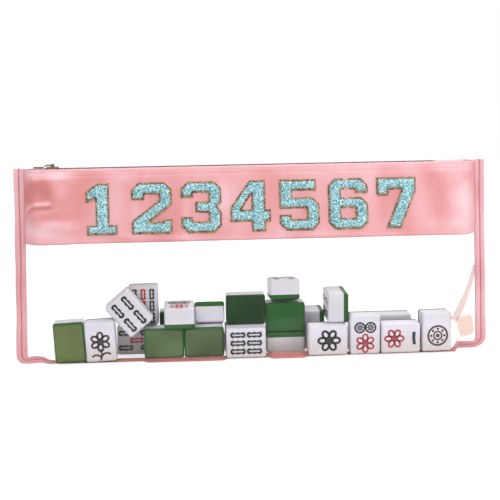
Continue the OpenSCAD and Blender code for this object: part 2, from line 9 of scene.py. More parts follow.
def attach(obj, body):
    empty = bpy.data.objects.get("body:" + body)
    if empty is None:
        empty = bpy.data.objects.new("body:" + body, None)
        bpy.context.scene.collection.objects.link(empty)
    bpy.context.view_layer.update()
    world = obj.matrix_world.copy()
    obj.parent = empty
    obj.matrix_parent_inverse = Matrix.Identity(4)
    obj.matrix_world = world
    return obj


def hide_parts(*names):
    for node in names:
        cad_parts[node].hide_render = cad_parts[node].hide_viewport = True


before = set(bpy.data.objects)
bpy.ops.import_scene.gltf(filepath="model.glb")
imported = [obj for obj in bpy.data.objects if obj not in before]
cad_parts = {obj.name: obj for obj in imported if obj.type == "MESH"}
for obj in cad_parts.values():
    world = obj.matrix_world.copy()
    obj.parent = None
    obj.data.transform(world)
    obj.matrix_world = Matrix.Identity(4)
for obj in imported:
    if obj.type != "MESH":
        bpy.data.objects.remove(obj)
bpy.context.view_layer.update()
print("loaded", len(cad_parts), "nodes")

mm = 0.001

caseShape = {
    "width": 472.0,
    "height": 189.5,       # top edge of the cloth bands
    "zipY": 4.0,
    "frontY": -34.1,       # inner face of the front sheet at the foot
    "backY": 37.6,
    "sheet": 0.4,
    "bandHeight": 70.5,
    "bandCloth": 0.8,
    "bindingWidth": 10.5,
    "bindingThick": 2.0,
    "zipWidth": 14.4,
    "zipTape": 0.6,
    "footZ": 41.0,         # the sheets stand upright below this
    "topTaper": 11.0,
    "baseTaper": 26.0,
    "heel": 6.0,
    "clear": 0.1,
}
caseHeight = caseShape["height"]
zipY = caseShape["zipY"]
seamX = caseShape["width"] / 2 - caseShape["bindingWidth"]
cornerIn = seamX - 1.5
bodyX = seamX - 0.3
bandZ = caseHeight - caseShape["bandHeight"]
patchMiddle = -3.0
topHalf = caseShape["zipWidth"] / 2 + 0.4
zipTop = caseHeight + caseShape["zipTape"]


# the case's outline: the rules of its solids, but for the low right corner, which closes sooner

def mix(a, b, t):
    return a + (b - a) * t


def limited(t, low=0.0, high=1.0):
    return max(low, min(high, t))


def smooth(t):
    t = limited(t)
    return t * t * (3 - 2 * t)


def lookUp(x, table):
    if x <= table[0][0]:
        return table[0][1]
    for (x0, v0), (x1, v1) in zip(table, table[1:]):
        if x <= x1:
            return mix(v0, v1, (x - x0) / (x1 - x0))
    return table[-1][1]


def cornerY(side):
    return (1 if side < 0 else 21) - 38.0


sideLean = {side: math.atan((zipY - cornerY(side)) / (caseHeight - caseShape["bindingWidth"])) for side in (-1, 1)}


def leanOf(x):
    return sideLean[-1 if x < 0 else 1]


# How far the tape is turned down: it lies flat below the tiles and stands upright at the corners
def tiltOf(x):
    uprightLeft, uprightRight = (90 - math.degrees(sideLean[side]) for side in (-1, 1))
    return math.radians(lookUp(x, [
        (-cornerIn, uprightLeft), (-cornerIn + 9, 40), (-cornerIn + 17, 12), (-cornerIn + 22, 0),
        (cornerIn - 23.5, 0), (cornerIn - 20.5, 45), (cornerIn - 17, 76), (cornerIn - 12, uprightRight)]))


# How far forward the tape's outer edge lies
def rimY(x):
    y = caseShape["frontY"]
    return lookUp(x, [
        (-cornerIn, cornerY(-1)), (-cornerIn + 12, y + 3), (-cornerIn + 23, y + 1),
        (-cornerIn + 50, y + 0.5), (0, y + 0.4), (cornerIn - 40, y + 0.5),
        (cornerIn - 24, y + 1), (cornerIn - 22, y + 3), (cornerIn - 17, cornerY(1))])


# The tape's outward way across its width
def downAt(x):
    return Vector((0, -math.cos(tiltOf(x)), -math.sin(tiltOf(x))))


# The way out of its lower face
def underAt(x):
    return Vector((0, math.sin(tiltOf(x)), -math.cos(tiltOf(x))))


def innerAt(x):
    start = Vector((x, rimY(x), caseShape["bindingThick"] / 2 * math.cos(tiltOf(x))))
    return start - caseShape["bindingWidth"] * downAt(x)


cornerR = seamX - cornerIn


def hubOf(side):
    x = side * cornerIn
    return innerAt(x) - cornerR * downAt(x)


# Points on the binding's inner edge, with the outward way and the sheet's normal
def bindingStations():
    found = []

    # down one side and round its low corner
    def endRun(side):
        lean, hub, x = leanOf(side), hubOf(side), side * cornerIn
        sideways = Vector((side, 0, 0))
        sideDown = Vector((0, -math.sin(lean), -math.cos(lean)))
        top = hub - sideDown * (caseHeight + caseShape["clear"] - hub[2]) / math.cos(lean)
        run = [(top.lerp(hub, k / 120) + cornerR * sideways, sideways, underAt(x)) for k in range(121)]
        for k in range(1, 16):
            a = math.radians(90 * k / 16)
            out = math.cos(a) * sideways + math.sin(a) * downAt(x)
            run.append((hub + cornerR * out, out, underAt(x)))
        return run

    found += endRun(-1)
    for k in range(361):
        x = mix(-cornerIn, cornerIn, k / 360)
        found.append((innerAt(x), downAt(x), underAt(x)))
    return found + endRun(1)[::-1]


# From 0 where the case is closed, at its sides, to 1 where it is fully open
def openedAt(x, z):
    reach = mix(caseShape["baseTaper"], caseShape["topTaper"], limited(z / caseHeight))
    return math.sin(math.radians(90 * limited((bodyX - abs(x)) / reach)))


hubs = {-1: hubOf(-1), 1: hubOf(1)}


def sideY(x, z):
    hub = hubs[-1 if x < 0 else 1]
    return hub[1] + (z - hub[2]) * math.tan(leanOf(x))


# Middle of a clear sheet where the case is open: side is -1 in front and 1 behind
def openY(z, side):
    foot = caseShape["frontY" if side < 0 else "backY"] + side * caseShape["sheet"] / 2
    return mix(foot, zipY + side * topHalf, max(0, z - caseShape["footZ"]) / (caseHeight - caseShape["footZ"]))


def sheetY(x, z, side):
    return mix(sideY(x, z) + side * 0.25, openY(z, side), openedAt(x, z))


tuckedBinding = {
    "depth": 5.0,          # drawn in and pressed flat under the heaviest front tiles
    "ease": 7.0,
    "spans": [(-203.0, -111.0), (-31.0, 14.0), (50.0, 199.0)],
    "lowCorner": 194.0,    # outside this the tape is slimmer, and lower at the right
    "cornerEase": 12.0,
    "drop": 3.0,
}


def setBack(x):
    ease = tuckedBinding["ease"]
    inSpan = [smooth((x - x0) / ease + 0.5) * smooth((x1 - x) / ease + 0.5) for x0, x1 in tuckedBinding["spans"]]
    return tuckedBinding["depth"] * max(inSpan)


def nearCorner(x):
    return smooth((x - tuckedBinding["lowCorner"]) / tuckedBinding["cornerEase"])


# The upright tape at the low right corner hangs down to the floor
def dropAt(x, steep):
    return tuckedBinding["drop"] * nearCorner(x) * steep


# Where the front sheet ends in the binding, as Y and Z
def hemAt(x):
    xc = limited(x, -cornerIn, cornerIn)
    turned = limited(math.degrees(tiltOf(xc)) / 45)
    along = mix(caseShape["bindingWidth"] - 0.3, -0.6, turned)
    rise = mix(1.1, 0.05, limited((turned - 0.95) / 0.05)) + caseShape["sheet"] / 2
    at = innerAt(xc) + along * downAt(xc) - rise * underAt(xc)
    return at[1], at[2] - 0.9 * setBack(x) / tuckedBinding["depth"] - dropAt(x, math.sin(tiltOf(xc)))


# mesh helpers

def added(name, data):
    made = bpy.data.objects.new(name, data)
    bpy.context.scene.collection.objects.link(made)
    return made


def smoothFaces(mesh):
    mesh.polygons.foreach_set("use_smooth", [True] * len(mesh.polygons))


def meshObject(name, points, faces):
    mesh = bpy.data.meshes.new(name)
    mesh.from_pydata([tuple(p) for p in points], [], faces)
    mesh.update()
    smoothFaces(mesh)
    return added(name, mesh)


# A sheet of quads through rows of points, in millimetres
def gridObject(name, rows, closed=False):
    wide = len(rows[0])
    points = [Vector(p) * mm for row in rows for p in row]
    faces = []
    for i in range(len(rows) - 1):
        for j in range(wide if closed else wide - 1):
            a, b = i * wide + j, i * wide + (j + 1) % wide
            faces.append((a, b, b + wide, a + wide))
    return meshObject(name, points, faces)


def plainMesh(made):
    view = bpy.context.evaluated_depsgraph_get()
    view.update()
    return bpy.data.meshes.new_from_object(made.evaluated_get(view))


# Turns an object with modifiers into a plain mesh
def applied(made):
    plain = plainMesh(made)
    made.modifiers.clear()
    made.data = plain
    return made


def thickened(made, thick):
    solid = made.modifiers.new("cloth", "SOLIDIFY")
    solid.thickness = thick * mm
    solid.offset = 0.0
    solid.use_even_offset = False
    return applied(made)


# Joins (points, faces, material index) lists into one object in these materials
def joinedMesh(name, parts, *materials):
    points, faces, marks = [], [], []
    for somePoints, someFaces, mark in parts:
        base = len(points)
        points += somePoints
        faces += [tuple(base + k for k in face) for face in someFaces]
        marks += [mark] * len(someFaces)
    made = meshObject(name, points, faces)
    dress(made, *materials)
    made.data.polygons.foreach_set("material_index", marks)
    return made


def dress(made, *materials):
    made.data.materials.clear()
    for material in materials:
        made.data.materials.append(material)


# Rides the piece on its body and lets it stand for its solids
def place(made, body, slotName, *nodes):
    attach(made, body)
    if nodes:
        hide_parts(*nodes)
    return made


# materials

def newMaterial(name):
    material = bpy.data.materials.new(name)
    material.use_nodes = True
    material.node_tree.nodes.clear()
    return material, Wiring(material.node_tree)


# Short ways to add and join a material's nodes
class Wiring:
    def __init__(self, tree):
        self.tree = tree

    def add(self, kind, **settings):
        made = self.tree.nodes.new(kind)
        for key, value in settings.items():
            setattr(made, key, value)
        return made

    def link(self, start, end):
        self.tree.links.new(start, end)

    def inObject(self):
        return self.add("ShaderNodeTexCoord").outputs["Object"]

    def where(self, scale=(1, 1, 1)):
        sized = self.add("ShaderNodeMapping")
        sized.inputs["Scale"].default_value = scale
        self.link(self.inObject(), sized.inputs["Vector"])
        return sized.outputs["Vector"]

    def axes(self):
        parts = self.add("ShaderNodeSeparateXYZ")
        self.link(self.inObject(), parts.inputs["Vector"])
        return parts.outputs

    def noisy(self, vector, scale, detail=2.0, rough=0.5):
        made = self.add("ShaderNodeTexNoise")
        made.inputs["Scale"].default_value = scale
        made.inputs["Detail"].default_value = detail
        made.inputs["Roughness"].default_value = rough
        self.link(vector, made.inputs["Vector"])
        return made.outputs["Fac"]

    def ramp(self, value, stops):
        made = self.add("ShaderNodeValToRGB")
        line = made.color_ramp
        while len(line.elements) < len(stops):
            line.elements.new(0.5)
        for element, (at, colour) in zip(line.elements, stops):
            element.position = at
            element.color = (*colour, 1) if len(colour) == 3 else colour
        self.link(value, made.inputs["Fac"])
        return made.outputs["Color"]

    def sum(self, kind, a, b=0.0):
        made = self.add("ShaderNodeMath", operation=kind)
        for socket, value in zip(made.inputs, (a, b)):
            if isinstance(value, (int, float)):
                socket.default_value = value
            else:
                self.link(value, socket)
        return made.outputs["Value"]

    def blended(self, a, b, share, kind="MIX"):
        made = self.add("ShaderNodeMix", data_type="RGBA", blend_type=kind)
        for socket, value in ((made.inputs[6], a), (made.inputs[7], b), (made.inputs[0], share)):
            if isinstance(value, (int, float)):
                socket.default_value = value
            elif isinstance(value, tuple):
                socket.default_value = (*value, 1)
            else:
                self.link(value, socket)
        return made.outputs[2]

    def bump(self, height, distance, strength=1.0):
        made = self.add("ShaderNodeBump")
        made.inputs["Distance"].default_value = distance
        made.inputs["Strength"].default_value = strength
        self.link(height, made.inputs["Height"])
        return made.outputs["Normal"]

    def shader(self, **values):
        made = self.add("ShaderNodeBsdfPrincipled")
        for key, value in values.items():
            made.inputs[key.replace("_", " ")].default_value = value
        self.ended(made.outputs["BSDF"])
        return made

    def mixed(self, share, first, second):
        both = self.add("ShaderNodeMixShader")
        for socket, source in zip(both.inputs, (share, first, second)):
            self.link(source, socket)
        return both.outputs["Shader"]

    def ended(self, surface):
        self.link(surface, self.add("ShaderNodeOutputMaterial").inputs["Surface"])


# Crossed threads in the sheet's plane: across X and up Z, by where the point is
def weaveHeight(wires, pitch):
    parts = wires.axes()
    turns = 2 * math.pi / (pitch * mm)
    across = wires.sum("SINE", wires.sum("MULTIPLY", parts["X"], turns))
    upZ, backY = (wires.sum("MULTIPLY", parts[axis], turns * much) for axis, much in (("Z", 1), ("Y", 0.6)))
    rising = wires.sum("ADD", upZ, backY)
    return wires.sum("MULTIPLY", across, wires.sum("SINE", rising))


# Woven cloth with soft colour drift; colour and shade are linear
def clothMaterial(name, colour, shade, weave, roughness, sheen, wrinkle, paintedShades=None, shadeUnderTiles=None):
    material, wires = newMaterial(name)
    shader = wires.shader(Roughness=roughness, Sheen_Weight=sheen, Sheen_Roughness=0.4)
    shader.inputs["Specular IOR Level"].default_value = 0.35
    spot = wires.where()
    drift = wires.noisy(spot, 14, 3)
    tint = wires.ramp(drift, [(0.3, shade), (0.62, colour)])
    if paintedShades:                                          # painted shade in the folds, painted highlight on their crowns
        folded = wires.add("ShaderNodeAttribute", attribute_name="foldShading")
        tint = wires.blended(wires.ramp(folded.outputs["Fac"], paintedShades), tint, 0.25)
    if shadeUnderTiles:                                        # painted shade: warmer and darker where the tape lies on the table under the tiles
        parts = wires.axes()
        low = wires.ramp(wires.sum("MULTIPLY", parts["Z"], 22.0), [(0.06, shadeUnderTiles), (0.95, (1, 1, 1))])
        middle = wires.sum("SUBTRACT", 0.208, wires.sum("ABSOLUTE", parts["X"]))
        share = wires.sum("ADD", wires.sum("MINIMUM", wires.sum("MULTIPLY", middle, 55.0), 0.5), 0.5)
        tint = wires.blended(tint, low, wires.sum("MAXIMUM", share, 0.5), "MULTIPLY")
    threads = weaveHeight(wires, weave)
    fine = wires.ramp(threads, [(0.0, (0.93, 0.93, 0.93)), (1.0, (1, 1, 1))])
    wires.link(wires.blended(tint, fine, 1.0, "MULTIPLY"), shader.inputs["Base Color"])
    soft = wires.noisy(spot, 90, 3)
    height = wires.sum("ADD", wires.sum("MULTIPLY", threads, 0.12), wires.sum("MULTIPLY", soft, wrinkle))
    wires.link(wires.bump(height, 0.0006, 0.5), shader.inputs["Normal"])
    return material


nylonPink = clothMaterial("nylonPink", (0.80, 0.42, 0.45), (0.77, 0.35, 0.36), 0.9, 0.46, 0.2, 0.6)
bandNylon = clothMaterial("bandNylon", (0.74, 0.39, 0.42), (0.68, 0.31, 0.32), 0.9, 0.46, 0.08, 0.6, [
    (0.0, (0.54, 0.15, 0.13)), (0.3, (0.66, 0.235, 0.225)), (0.5, (0.735, 0.33, 0.345)), (0.75, (0.80, 0.49, 0.53)),
    (1.0, (0.85, 0.65, 0.70))])
tapePink = clothMaterial("tapePink", (0.75, 0.43, 0.47), (0.62, 0.27, 0.30), 1.0, 0.55, 0.1, 0.8,
                         shadeUnderTiles=(0.77, 0.50, 0.42))
# painted shade for the valley along the binding's stitched line
tapeValleyShade = clothMaterial("tapeValleyShade", (0.52, 0.15, 0.18), (0.44, 0.11, 0.14), 0.8, 0.7, 0.1, 0.8)
threadPink = clothMaterial("threadPink", (0.62, 0.22, 0.26), (0.54, 0.17, 0.20), 0.4, 0.6, 0.1, 0.4)
zipCloth = clothMaterial("zipCloth", (0.09, 0.055, 0.062), (0.07, 0.045, 0.05), 0.7, 0.85, 0.05, 0.5)


def plainMaterial(name, colour, roughness, metal=0.0, coat=0.0, grain=0.0, grainScale=60, specular=0.5):
    material, wires = newMaterial(name)
    shader = wires.shader(Roughness=roughness, Metallic=metal, Coat_Weight=coat, Coat_Roughness=0.12,
                          Specular_IOR_Level=specular)
    spot = wires.where()
    drift = wires.noisy(spot, grainScale, 3)
    low = tuple(c * (1 - grain) for c in colour)
    wires.link(wires.ramp(drift, [(0.35, low), (0.65, colour)]), shader.inputs["Base Color"])
    fine = wires.noisy(spot, grainScale * 12, 2)
    wires.link(wires.bump(fine, 0.0002, 0.25), shader.inputs["Normal"])
    return material


zipTeethMetal = plainMaterial("zipTeethMetal", (0.07, 0.045, 0.047), 0.55, 0.0, grain=0.2, specular=0.3)
antiqueBrass = plainMaterial("antiqueBrass", (0.46, 0.36, 0.24), 0.3, 1.0, grain=0.6, grainScale=260)
inkSlate = plainMaterial("inkSlate", (0.012, 0.016, 0.018), 0.5, grain=0.3)
inkRed = plainMaterial("inkRed", (0.44, 0.016, 0.035), 0.5, grain=0.25)
inkBrown = plainMaterial("inkBrown", (0.055, 0.024, 0.018), 0.5, grain=0.3)


def ivoryMaterial():
    material, wires = newMaterial("tileWhite")
    shader = wires.shader(Roughness=0.36, Coat_Weight=0.15, Coat_Roughness=0.15)
    spot = wires.inObject()
    # painted light: warmer and darker near the floor, paler and lavender higher up, as the light falls on the tiles
    height = wires.sum("MULTIPLY", wires.axes()["Z"], 22.0)
    tone = wires.ramp(height, [(0.08, (0.62, 0.555, 0.54)), (0.62, (0.70, 0.67, 0.76)), (1.0, (0.64, 0.62, 0.67))])
    grain = wires.ramp(wires.noisy(spot, 900, 3), [(0.3, (0.93, 0.93, 0.93)), (0.7, (1, 1, 1))])
    wires.link(wires.blended(tone, grain, 1.0, "MULTIPLY"), shader.inputs["Base Color"])
    wires.link(wires.bump(wires.noisy(spot, 700, 2), 0.0002, 0.2), shader.inputs["Normal"])
    return material


tileWhite = ivoryMaterial()
stickCore = plainMaterial("stickCore", (0.58, 0.56, 0.60), 0.4, grain=0.04)
print("materials ready")

# clear panels

clearVinyl = {
    "gloss": 0.012,
    "rimGloss": 0.3,
    "foldTop": (225.5, 84.0),        # crease by the right side seam: X and Z
    "foldFoot": (198.0, 35.0),
    "foldWidth": 3.2,
    "foldRise": 1.6,
    # painted reflection along the crease, with painted shade at its edges
    "creaseReflection": (0.88, 0.77, 0.755),
    "creaseEdgeShade": (0.77, 0.69, 0.68),
    "tapeReflectionAt": (211.5, 27.5),        # painted reflection of the pink seam tape on the sheet: its middle
    "tapeReflectionHalf": (11.0, 12.5),
    "tapeReflectionTint": (0.91, 0.79, 0.73),
}


# How far along a line from start to end a spot is, as a share, and how far beside it
def besideLine(x, z, start, end):
    dx, dz = end[0] - start[0], end[1] - start[1]
    long = math.hypot(dx, dz)
    along = ((x - start[0]) * dx + (z - start[1]) * dz) / long ** 2
    aside = ((x - start[0]) * dz - (z - start[1]) * dx) / long
    return along, aside


# Painted reflection along the crease and of the pink seam tape, as a tint on the light the sheet lets through
def paintedCreaseReflection(wires):
    parts = wires.axes()
    x, z = (wires.sum("MULTIPLY", parts[axis], 1 / mm) for axis in ("X", "Z"))

    def crossing(at, way, scale):
        a = wires.sum("MULTIPLY", wires.sum("SUBTRACT", x, at[0]), way[0] * scale)
        b = wires.sum("MULTIPLY", wires.sum("SUBTRACT", z, at[1]), way[1] * scale)
        return wires.sum("ADD", a, b)

    (x0, z0), (x1, z1) = clearVinyl["foldTop"], clearVinyl["foldFoot"]
    long = math.hypot(x1 - x0, z1 - z0)
    ahead = ((x1 - x0) / long, (z1 - z0) / long)
    along = crossing((x0, z0), ahead, 1 / long)
    aside = wires.sum("ABSOLUTE", crossing((x0, z0), (-ahead[1], ahead[0]), 0.2))
    white = (1, 1, 1)
    strip = wires.ramp(aside, [(0.0, clearVinyl["creaseReflection"]), (0.48, clearVinyl["creaseReflection"]),
                               (0.6, clearVinyl["creaseEdgeShade"]), (0.7, white)])
    inside = wires.sum("LESS_THAN", wires.sum("ABSOLUTE", wires.sum("SUBTRACT", along, 0.5)), 0.51)
    tint = wires.blended(white, strip, inside)
    dx, dz = (wires.sum("POWER", wires.sum("ABSOLUTE", crossing(clearVinyl["tapeReflectionAt"], way, 1 / half)), 4.0)
              for way, half in zip(((1, 0.25), (0, 1)), clearVinyl["tapeReflectionHalf"]))
    tapeReflection = clearVinyl["tapeReflectionTint"]
    patch = wires.ramp(wires.sum("ADD", dx, dz), [(0.0, tapeReflection), (0.35, tapeReflection), (0.95, white)])
    return wires.blended(tint, patch, 1.0, "MULTIPLY")


def vinylMaterial(name, creased):
    material, wires = newMaterial(name)
    through = wires.add("ShaderNodeBsdfTransparent")
    through.inputs["Color"].default_value = (1, 1, 1, 1)
    # the creased sheet takes the painted crease and tape reflection
    if creased:
        wires.link(paintedCreaseReflection(wires), through.inputs["Color"])
    gloss = wires.add("ShaderNodeBsdfGlossy")
    gloss.inputs["Roughness"].default_value = 0.09
    gloss.inputs["Color"].default_value = (1, 1, 1, 1)
    rim = wires.add("ShaderNodeLayerWeight")
    steep = wires.sum("POWER", rim.outputs["Facing"], 4.0)
    share = wires.sum("ADD", wires.sum("MULTIPLY", steep, clearVinyl["rimGloss"]), clearVinyl["gloss"])
    ripple = wires.noisy(wires.where((1, 1, 0.45)), 26, 1)
    wires.link(wires.bump(ripple, 0.0015, 0.35), gloss.inputs["Normal"])
    wires.ended(wires.mixed(share, through.outputs["BSDF"], gloss.outputs["BSDF"]))
    return material


clearSheet = vinylMaterial("clearVinyl", False)
creasedSheet = vinylMaterial("clearVinylCreased", True)


# Even steps in the middle and finer ones where the case closes
def closeToEnds(count):
    steps = []
    for k in range(count + 1):
        t = 2 * k / count - 1
        steps.append(bodyX * math.copysign(1 - (1 - abs(t)) ** 1.35, t))
    return steps


panelXs = [-seamX - 4] + closeToEnds(150) + [seamX + 4]    # the ends lie in the fold of the binding
panelTop = bandZ + 8                                       # behind the foot of the band


def buildFrontPanel():
    rows = []
    for i in range(61):
        t = i / 60
        row = []
        for x in panelXs:
            inSlot = abs(x) > seamX
            hub = innerAt(math.copysign(cornerIn, x))
            hem = (hub[1], hub[2] + 2) if inSlot else hemAt(x)
            z = mix(panelTop, hem[1], t)
            y = sheetY(x, z, -1)
            if t > 0.9 and not inSlot:
                y = mix(y, hem[0], smooth((t - 0.9) / 0.1))
            if not inSlot:
                free = openedAt(x, z) * limited((z - 20) / 40) * limited((120 - z) / 20)
                y -= 0.5 * free * (1 + noise.noise(Vector((x * 0.012, z * 0.02, 3.1))))
                along, aside = besideLine(x, z, clearVinyl["foldTop"], clearVinyl["foldFoot"])
                inFold = smooth(4 * limited(along)) * smooth(4 * limited(1 - along))
                y -= clearVinyl["foldRise"] * inFold * math.exp(-(aside / clearVinyl["foldWidth"]) ** 2)
            row.append((x, y, z))
        rows.append(row)
    for k in (1, 2, 3):                                # tucked in under the tiles
        rows.append([(x, y + k * (0.05 + setBack(x) / 3), z - 0.02 * k) for x, y, z in rows[60]])
    panel = thickened(gridObject("frontPanel", rows), caseShape["sheet"])
    dress(panel, creasedSheet)
    return place(panel, "case", "clear_vinyl", "front_sheet")


def buildBackPanel():
    footZ, low = caseShape["footZ"], caseShape["sheet"] / 2
    wallY, heelR = caseShape["backY"] + low, caseShape["heel"]
    front = caseShape["frontY"] + caseShape["bindingWidth"] + 4.5
    last = 30                                          # the last row of the leaning part
    profile = [(openY(z, 1), z) for z in [panelTop - (panelTop - footZ) * k / last for k in range(last + 1)]]
    profile += [(wallY, z) for z in (34, 27, 20, 13)]
    for k in range(13):
        a = math.radians(90 * k / 12)
        profile.append((wallY - heelR * (1 - math.cos(a)), low + heelR * (1 - math.sin(a))))
    profile += [(mix(wallY - heelR, front, k / 14), low) for k in range(1, 15)]
    rows = []
    for x in panelXs:
        hubZ = innerAt(math.copysign(cornerIn, x))[2] + 2
        row = []
        for k, (flatY, flatZ) in enumerate(profile):
            past = max(0, k - last) / (len(profile) - last - 1)
            z = flatZ if k <= last else mix(footZ, hubZ, past)
            free = openedAt(x, z if k <= last else mix(footZ, 0, past))
            y = mix(sideY(x, z) + 0.25, flatY, free)
            wave = 0.4 * free * (1 - past) * noise.noise(Vector((x * 0.014, z * 0.02, 8.2)))
            row.append((x, y + max(0, wave), mix(z, flatZ, free)))
        xc = limited(x, -cornerIn, cornerIn)
        for depth in (0, 2, 4):
            at = innerAt(xc) + depth * downAt(xc) + 0.25 * underAt(xc)
            row.append((x, at[1], at[2] - dropAt(xc, math.sin(tiltOf(xc)))))
        rows.append(row)
    panel = thickened(gridObject("backPanel", rows), caseShape["sheet"])
    dress(panel, clearSheet)
    return place(panel, "case", "clear_vinyl", "back_sheet")


buildFrontPanel()
buildBackPanel()
print("clear panels ready")


# cloth bands

bandCloth = {
    "rows": 64,
    "columns": 330,
    "turn": 4.8,             # how far the top edge lies in over the zip
    "hemZ": 185.0,           # stitched lines along the top and the bottom
    "footZ": 121.6,
    "hemRise": 0.5,
    "calm": 160.0,           # the cloth lies flatter inside this, behind the patches
    "slack": {"left": 2.6, "right": 0.6},
    # soft folds of the front band: start and end in X and Z, rise and width
    "folds": [
        ((-227, 146), (-217, 156), 2.6, 2.2),
        ((-217, 156), (-198, 157), 2.6, 2.4),
        ((-222, 141), (-168, 131), 1.5, 6.5),
        ((-228, 187), (-216, 185), 1.6, 1.6),
        ((-195, 184), (-189, 126), 0.8, 7.0),
        ((-152, 186), (-153, 120), 0.7, 4.0),
        ((-104, 186), (-106, 120), 0.8, 4.0),
        ((-55, 186), (-57, 120), 0.7, 4.0),
        ((-6, 186), (-7, 120), 0.5, 4.0),
        ((43, 186), (42, 120), 0.7, 4.0),
        ((92, 186), (94, 120), 0.8, 4.0),
        ((141, 186), (140, 120), 0.6, 4.0),
        ((178, 186), (182, 122), -0.6, 8.0),
        ((222, 184), (194, 168), 0.6, 7.0),
        ((224, 142), (200, 124), 0.5, 7.0),
        ((-140, 124), (-60, 121), 0.5, 3.0),
        ((20, 123), (120, 121), 0.5, 3.0),
    ],
    "shadeByRise": 0.62,          # how much a slope up or across changes the painted shade
    "shadeByCross": 0.3,
    "intoSeam": 0.5,
    "seamShade": 0.5,        # painted shade, deeper where it runs into the side seams
    # painted highlights and painted shade on the satin: middle in X and Z, half width, half height, strength
    "paintedShades": [
        (-213, 167, 17, 11, -0.8),
        (-190, 168, 7, 12, 0.22),
        (-172, 150, 9, 26, -0.12),
        (-208, 133, 26, 8, 0.42),
        (-190, 126, 26, 5, 0.2),
        (-196, 146, 16, 5, -0.2),
        (-203, 176, 16, 4, -0.12),
        (-150, 181, 10, 4, -0.14),
        (-116, 150, 5, 30, 0.2),
        (-126, 182, 8, 5, 0.14),
        (-67, 150, 5, 30, 0.22),
        (-30, 160, 8, 22, 0.3),
        (-18, 150, 6, 30, 0.2),
        (10, 184, 16, 4, -0.12),
        (31, 150, 4, 30, 0.08),
        (60, 180, 16, 5, 0.1),
        (80, 150, 5, 30, 0.12),
        (128, 150, 5, 30, -0.06),
        (-120, 122, 40, 3, -0.12),
        (-60, 123, 30, 3, 0.12),
        (120, 123, 40, 3, -0.08),
        (188, 170, 16, 12, -0.05),
        (214, 150, 16, 28, 0.26),
        (196, 128, 26, 8, 0.2),
    ],
    # dents and swells: middle in X and Z, half width, half height and rise
    "dents": [
        (-214, 167, 10, 8, -3.0),
        (-216, 178, 9, 4, 0.6),
        (-191, 167, 9, 11, 1.3),
        (-210, 148, 15, 6, 1.5),
        (206, 150, 13, 14, 0.6),
    ],
}


# Sum of soft round places, each a middle, half width, half height and strength
def softPlaces(x, z, places):
    return sum(much * math.exp(-((x - cx) / wide) ** 2 - ((z - cz) / tall) ** 2)
               for cx, cz, wide, tall, much in places)


def foldsOf(x, z):
    rise = softPlaces(x, z, bandCloth["dents"])
    for start, end, high, width in bandCloth["folds"]:
        along, aside = besideLine(x, z, start, end)
        inFold = smooth(3 * limited(along + 0.12)) * smooth(3 * limited(1.12 - along))
        rise += high * inFold * math.exp(-(aside / width) ** 2)
    return rise


# How far the cloth stands out from its flat place
def bandPuff(x, z, side):
    free = openedAt(x, z) * smooth((caseHeight - z) / caseShape["bandHeight"] * 8)
    patched = smooth(limited((abs(x - patchMiddle) - bandCloth["calm"]) / 32))
    puff = 0.0
    for high, fineX, fineZ, start in ((0.35, 0.022, 0.006, 1.7), (mix(0.3, 0.6, patched), 0.07, 0.03, 5.2),
                                      (mix(0.12, 0.3, patched), 0.16, 0.1, 9.4)):
        puff += high * (1 + noise.noise(Vector((x * fineX, z * fineZ, start + side))))
    puff += bandCloth["hemRise"] * (math.exp(-((z - bandCloth["hemZ"] - 2.0) / 1.3) ** 2)
                                    + math.exp(-((z - bandCloth["footZ"] + 1.3) / 1.2) ** 2))
    if side < 0:
        puff += patched * bandCloth["slack"]["left" if x < 0 else "right"] + foldsOf(x, z)
    return max(puff, 0.0) * free


def bandPoint(x, t, side, lift=0.0):
    z = mix(caseHeight, bandZ, t)
    slope = sheetY(x + 0.5, z, side) - sheetY(x - 0.5, z, side)
    gap = (caseShape["bandCloth"] + caseShape["sheet"]) / 2 + caseShape["clear"]
    y = sheetY(x, z, side) + side * gap * math.hypot(1, slope)
    return Vector((x, y + side * (bandPuff(x, z, side) + lift), z))


# painted shade and highlight over the cloth's folds, from 0 in the deep, shaded ones to 1 on the crowns that face
# the lamps
def bandPaintedShade(x, z, side):
    up = (bandPuff(x, z + 0.8, side) - bandPuff(x, z - 0.8, side)) / 1.6
    across = (bandPuff(x + 0.8, z, side) - bandPuff(x - 0.8, z, side)) / 1.6
    tone = 0.5 - bandCloth["shadeByRise"] * up + bandCloth["shadeByCross"] * across * smooth((215 - x) / 20)
    tone += 0.24 * noise.noise(Vector((x * 0.045, z * 0.02, 2.6)))
    if side < 0:
        tone += softPlaces(x, z, bandCloth["paintedShades"])
    return limited(tone - bandCloth["seamShade"] * smooth(limited((abs(x) - 224) / 2.5)))


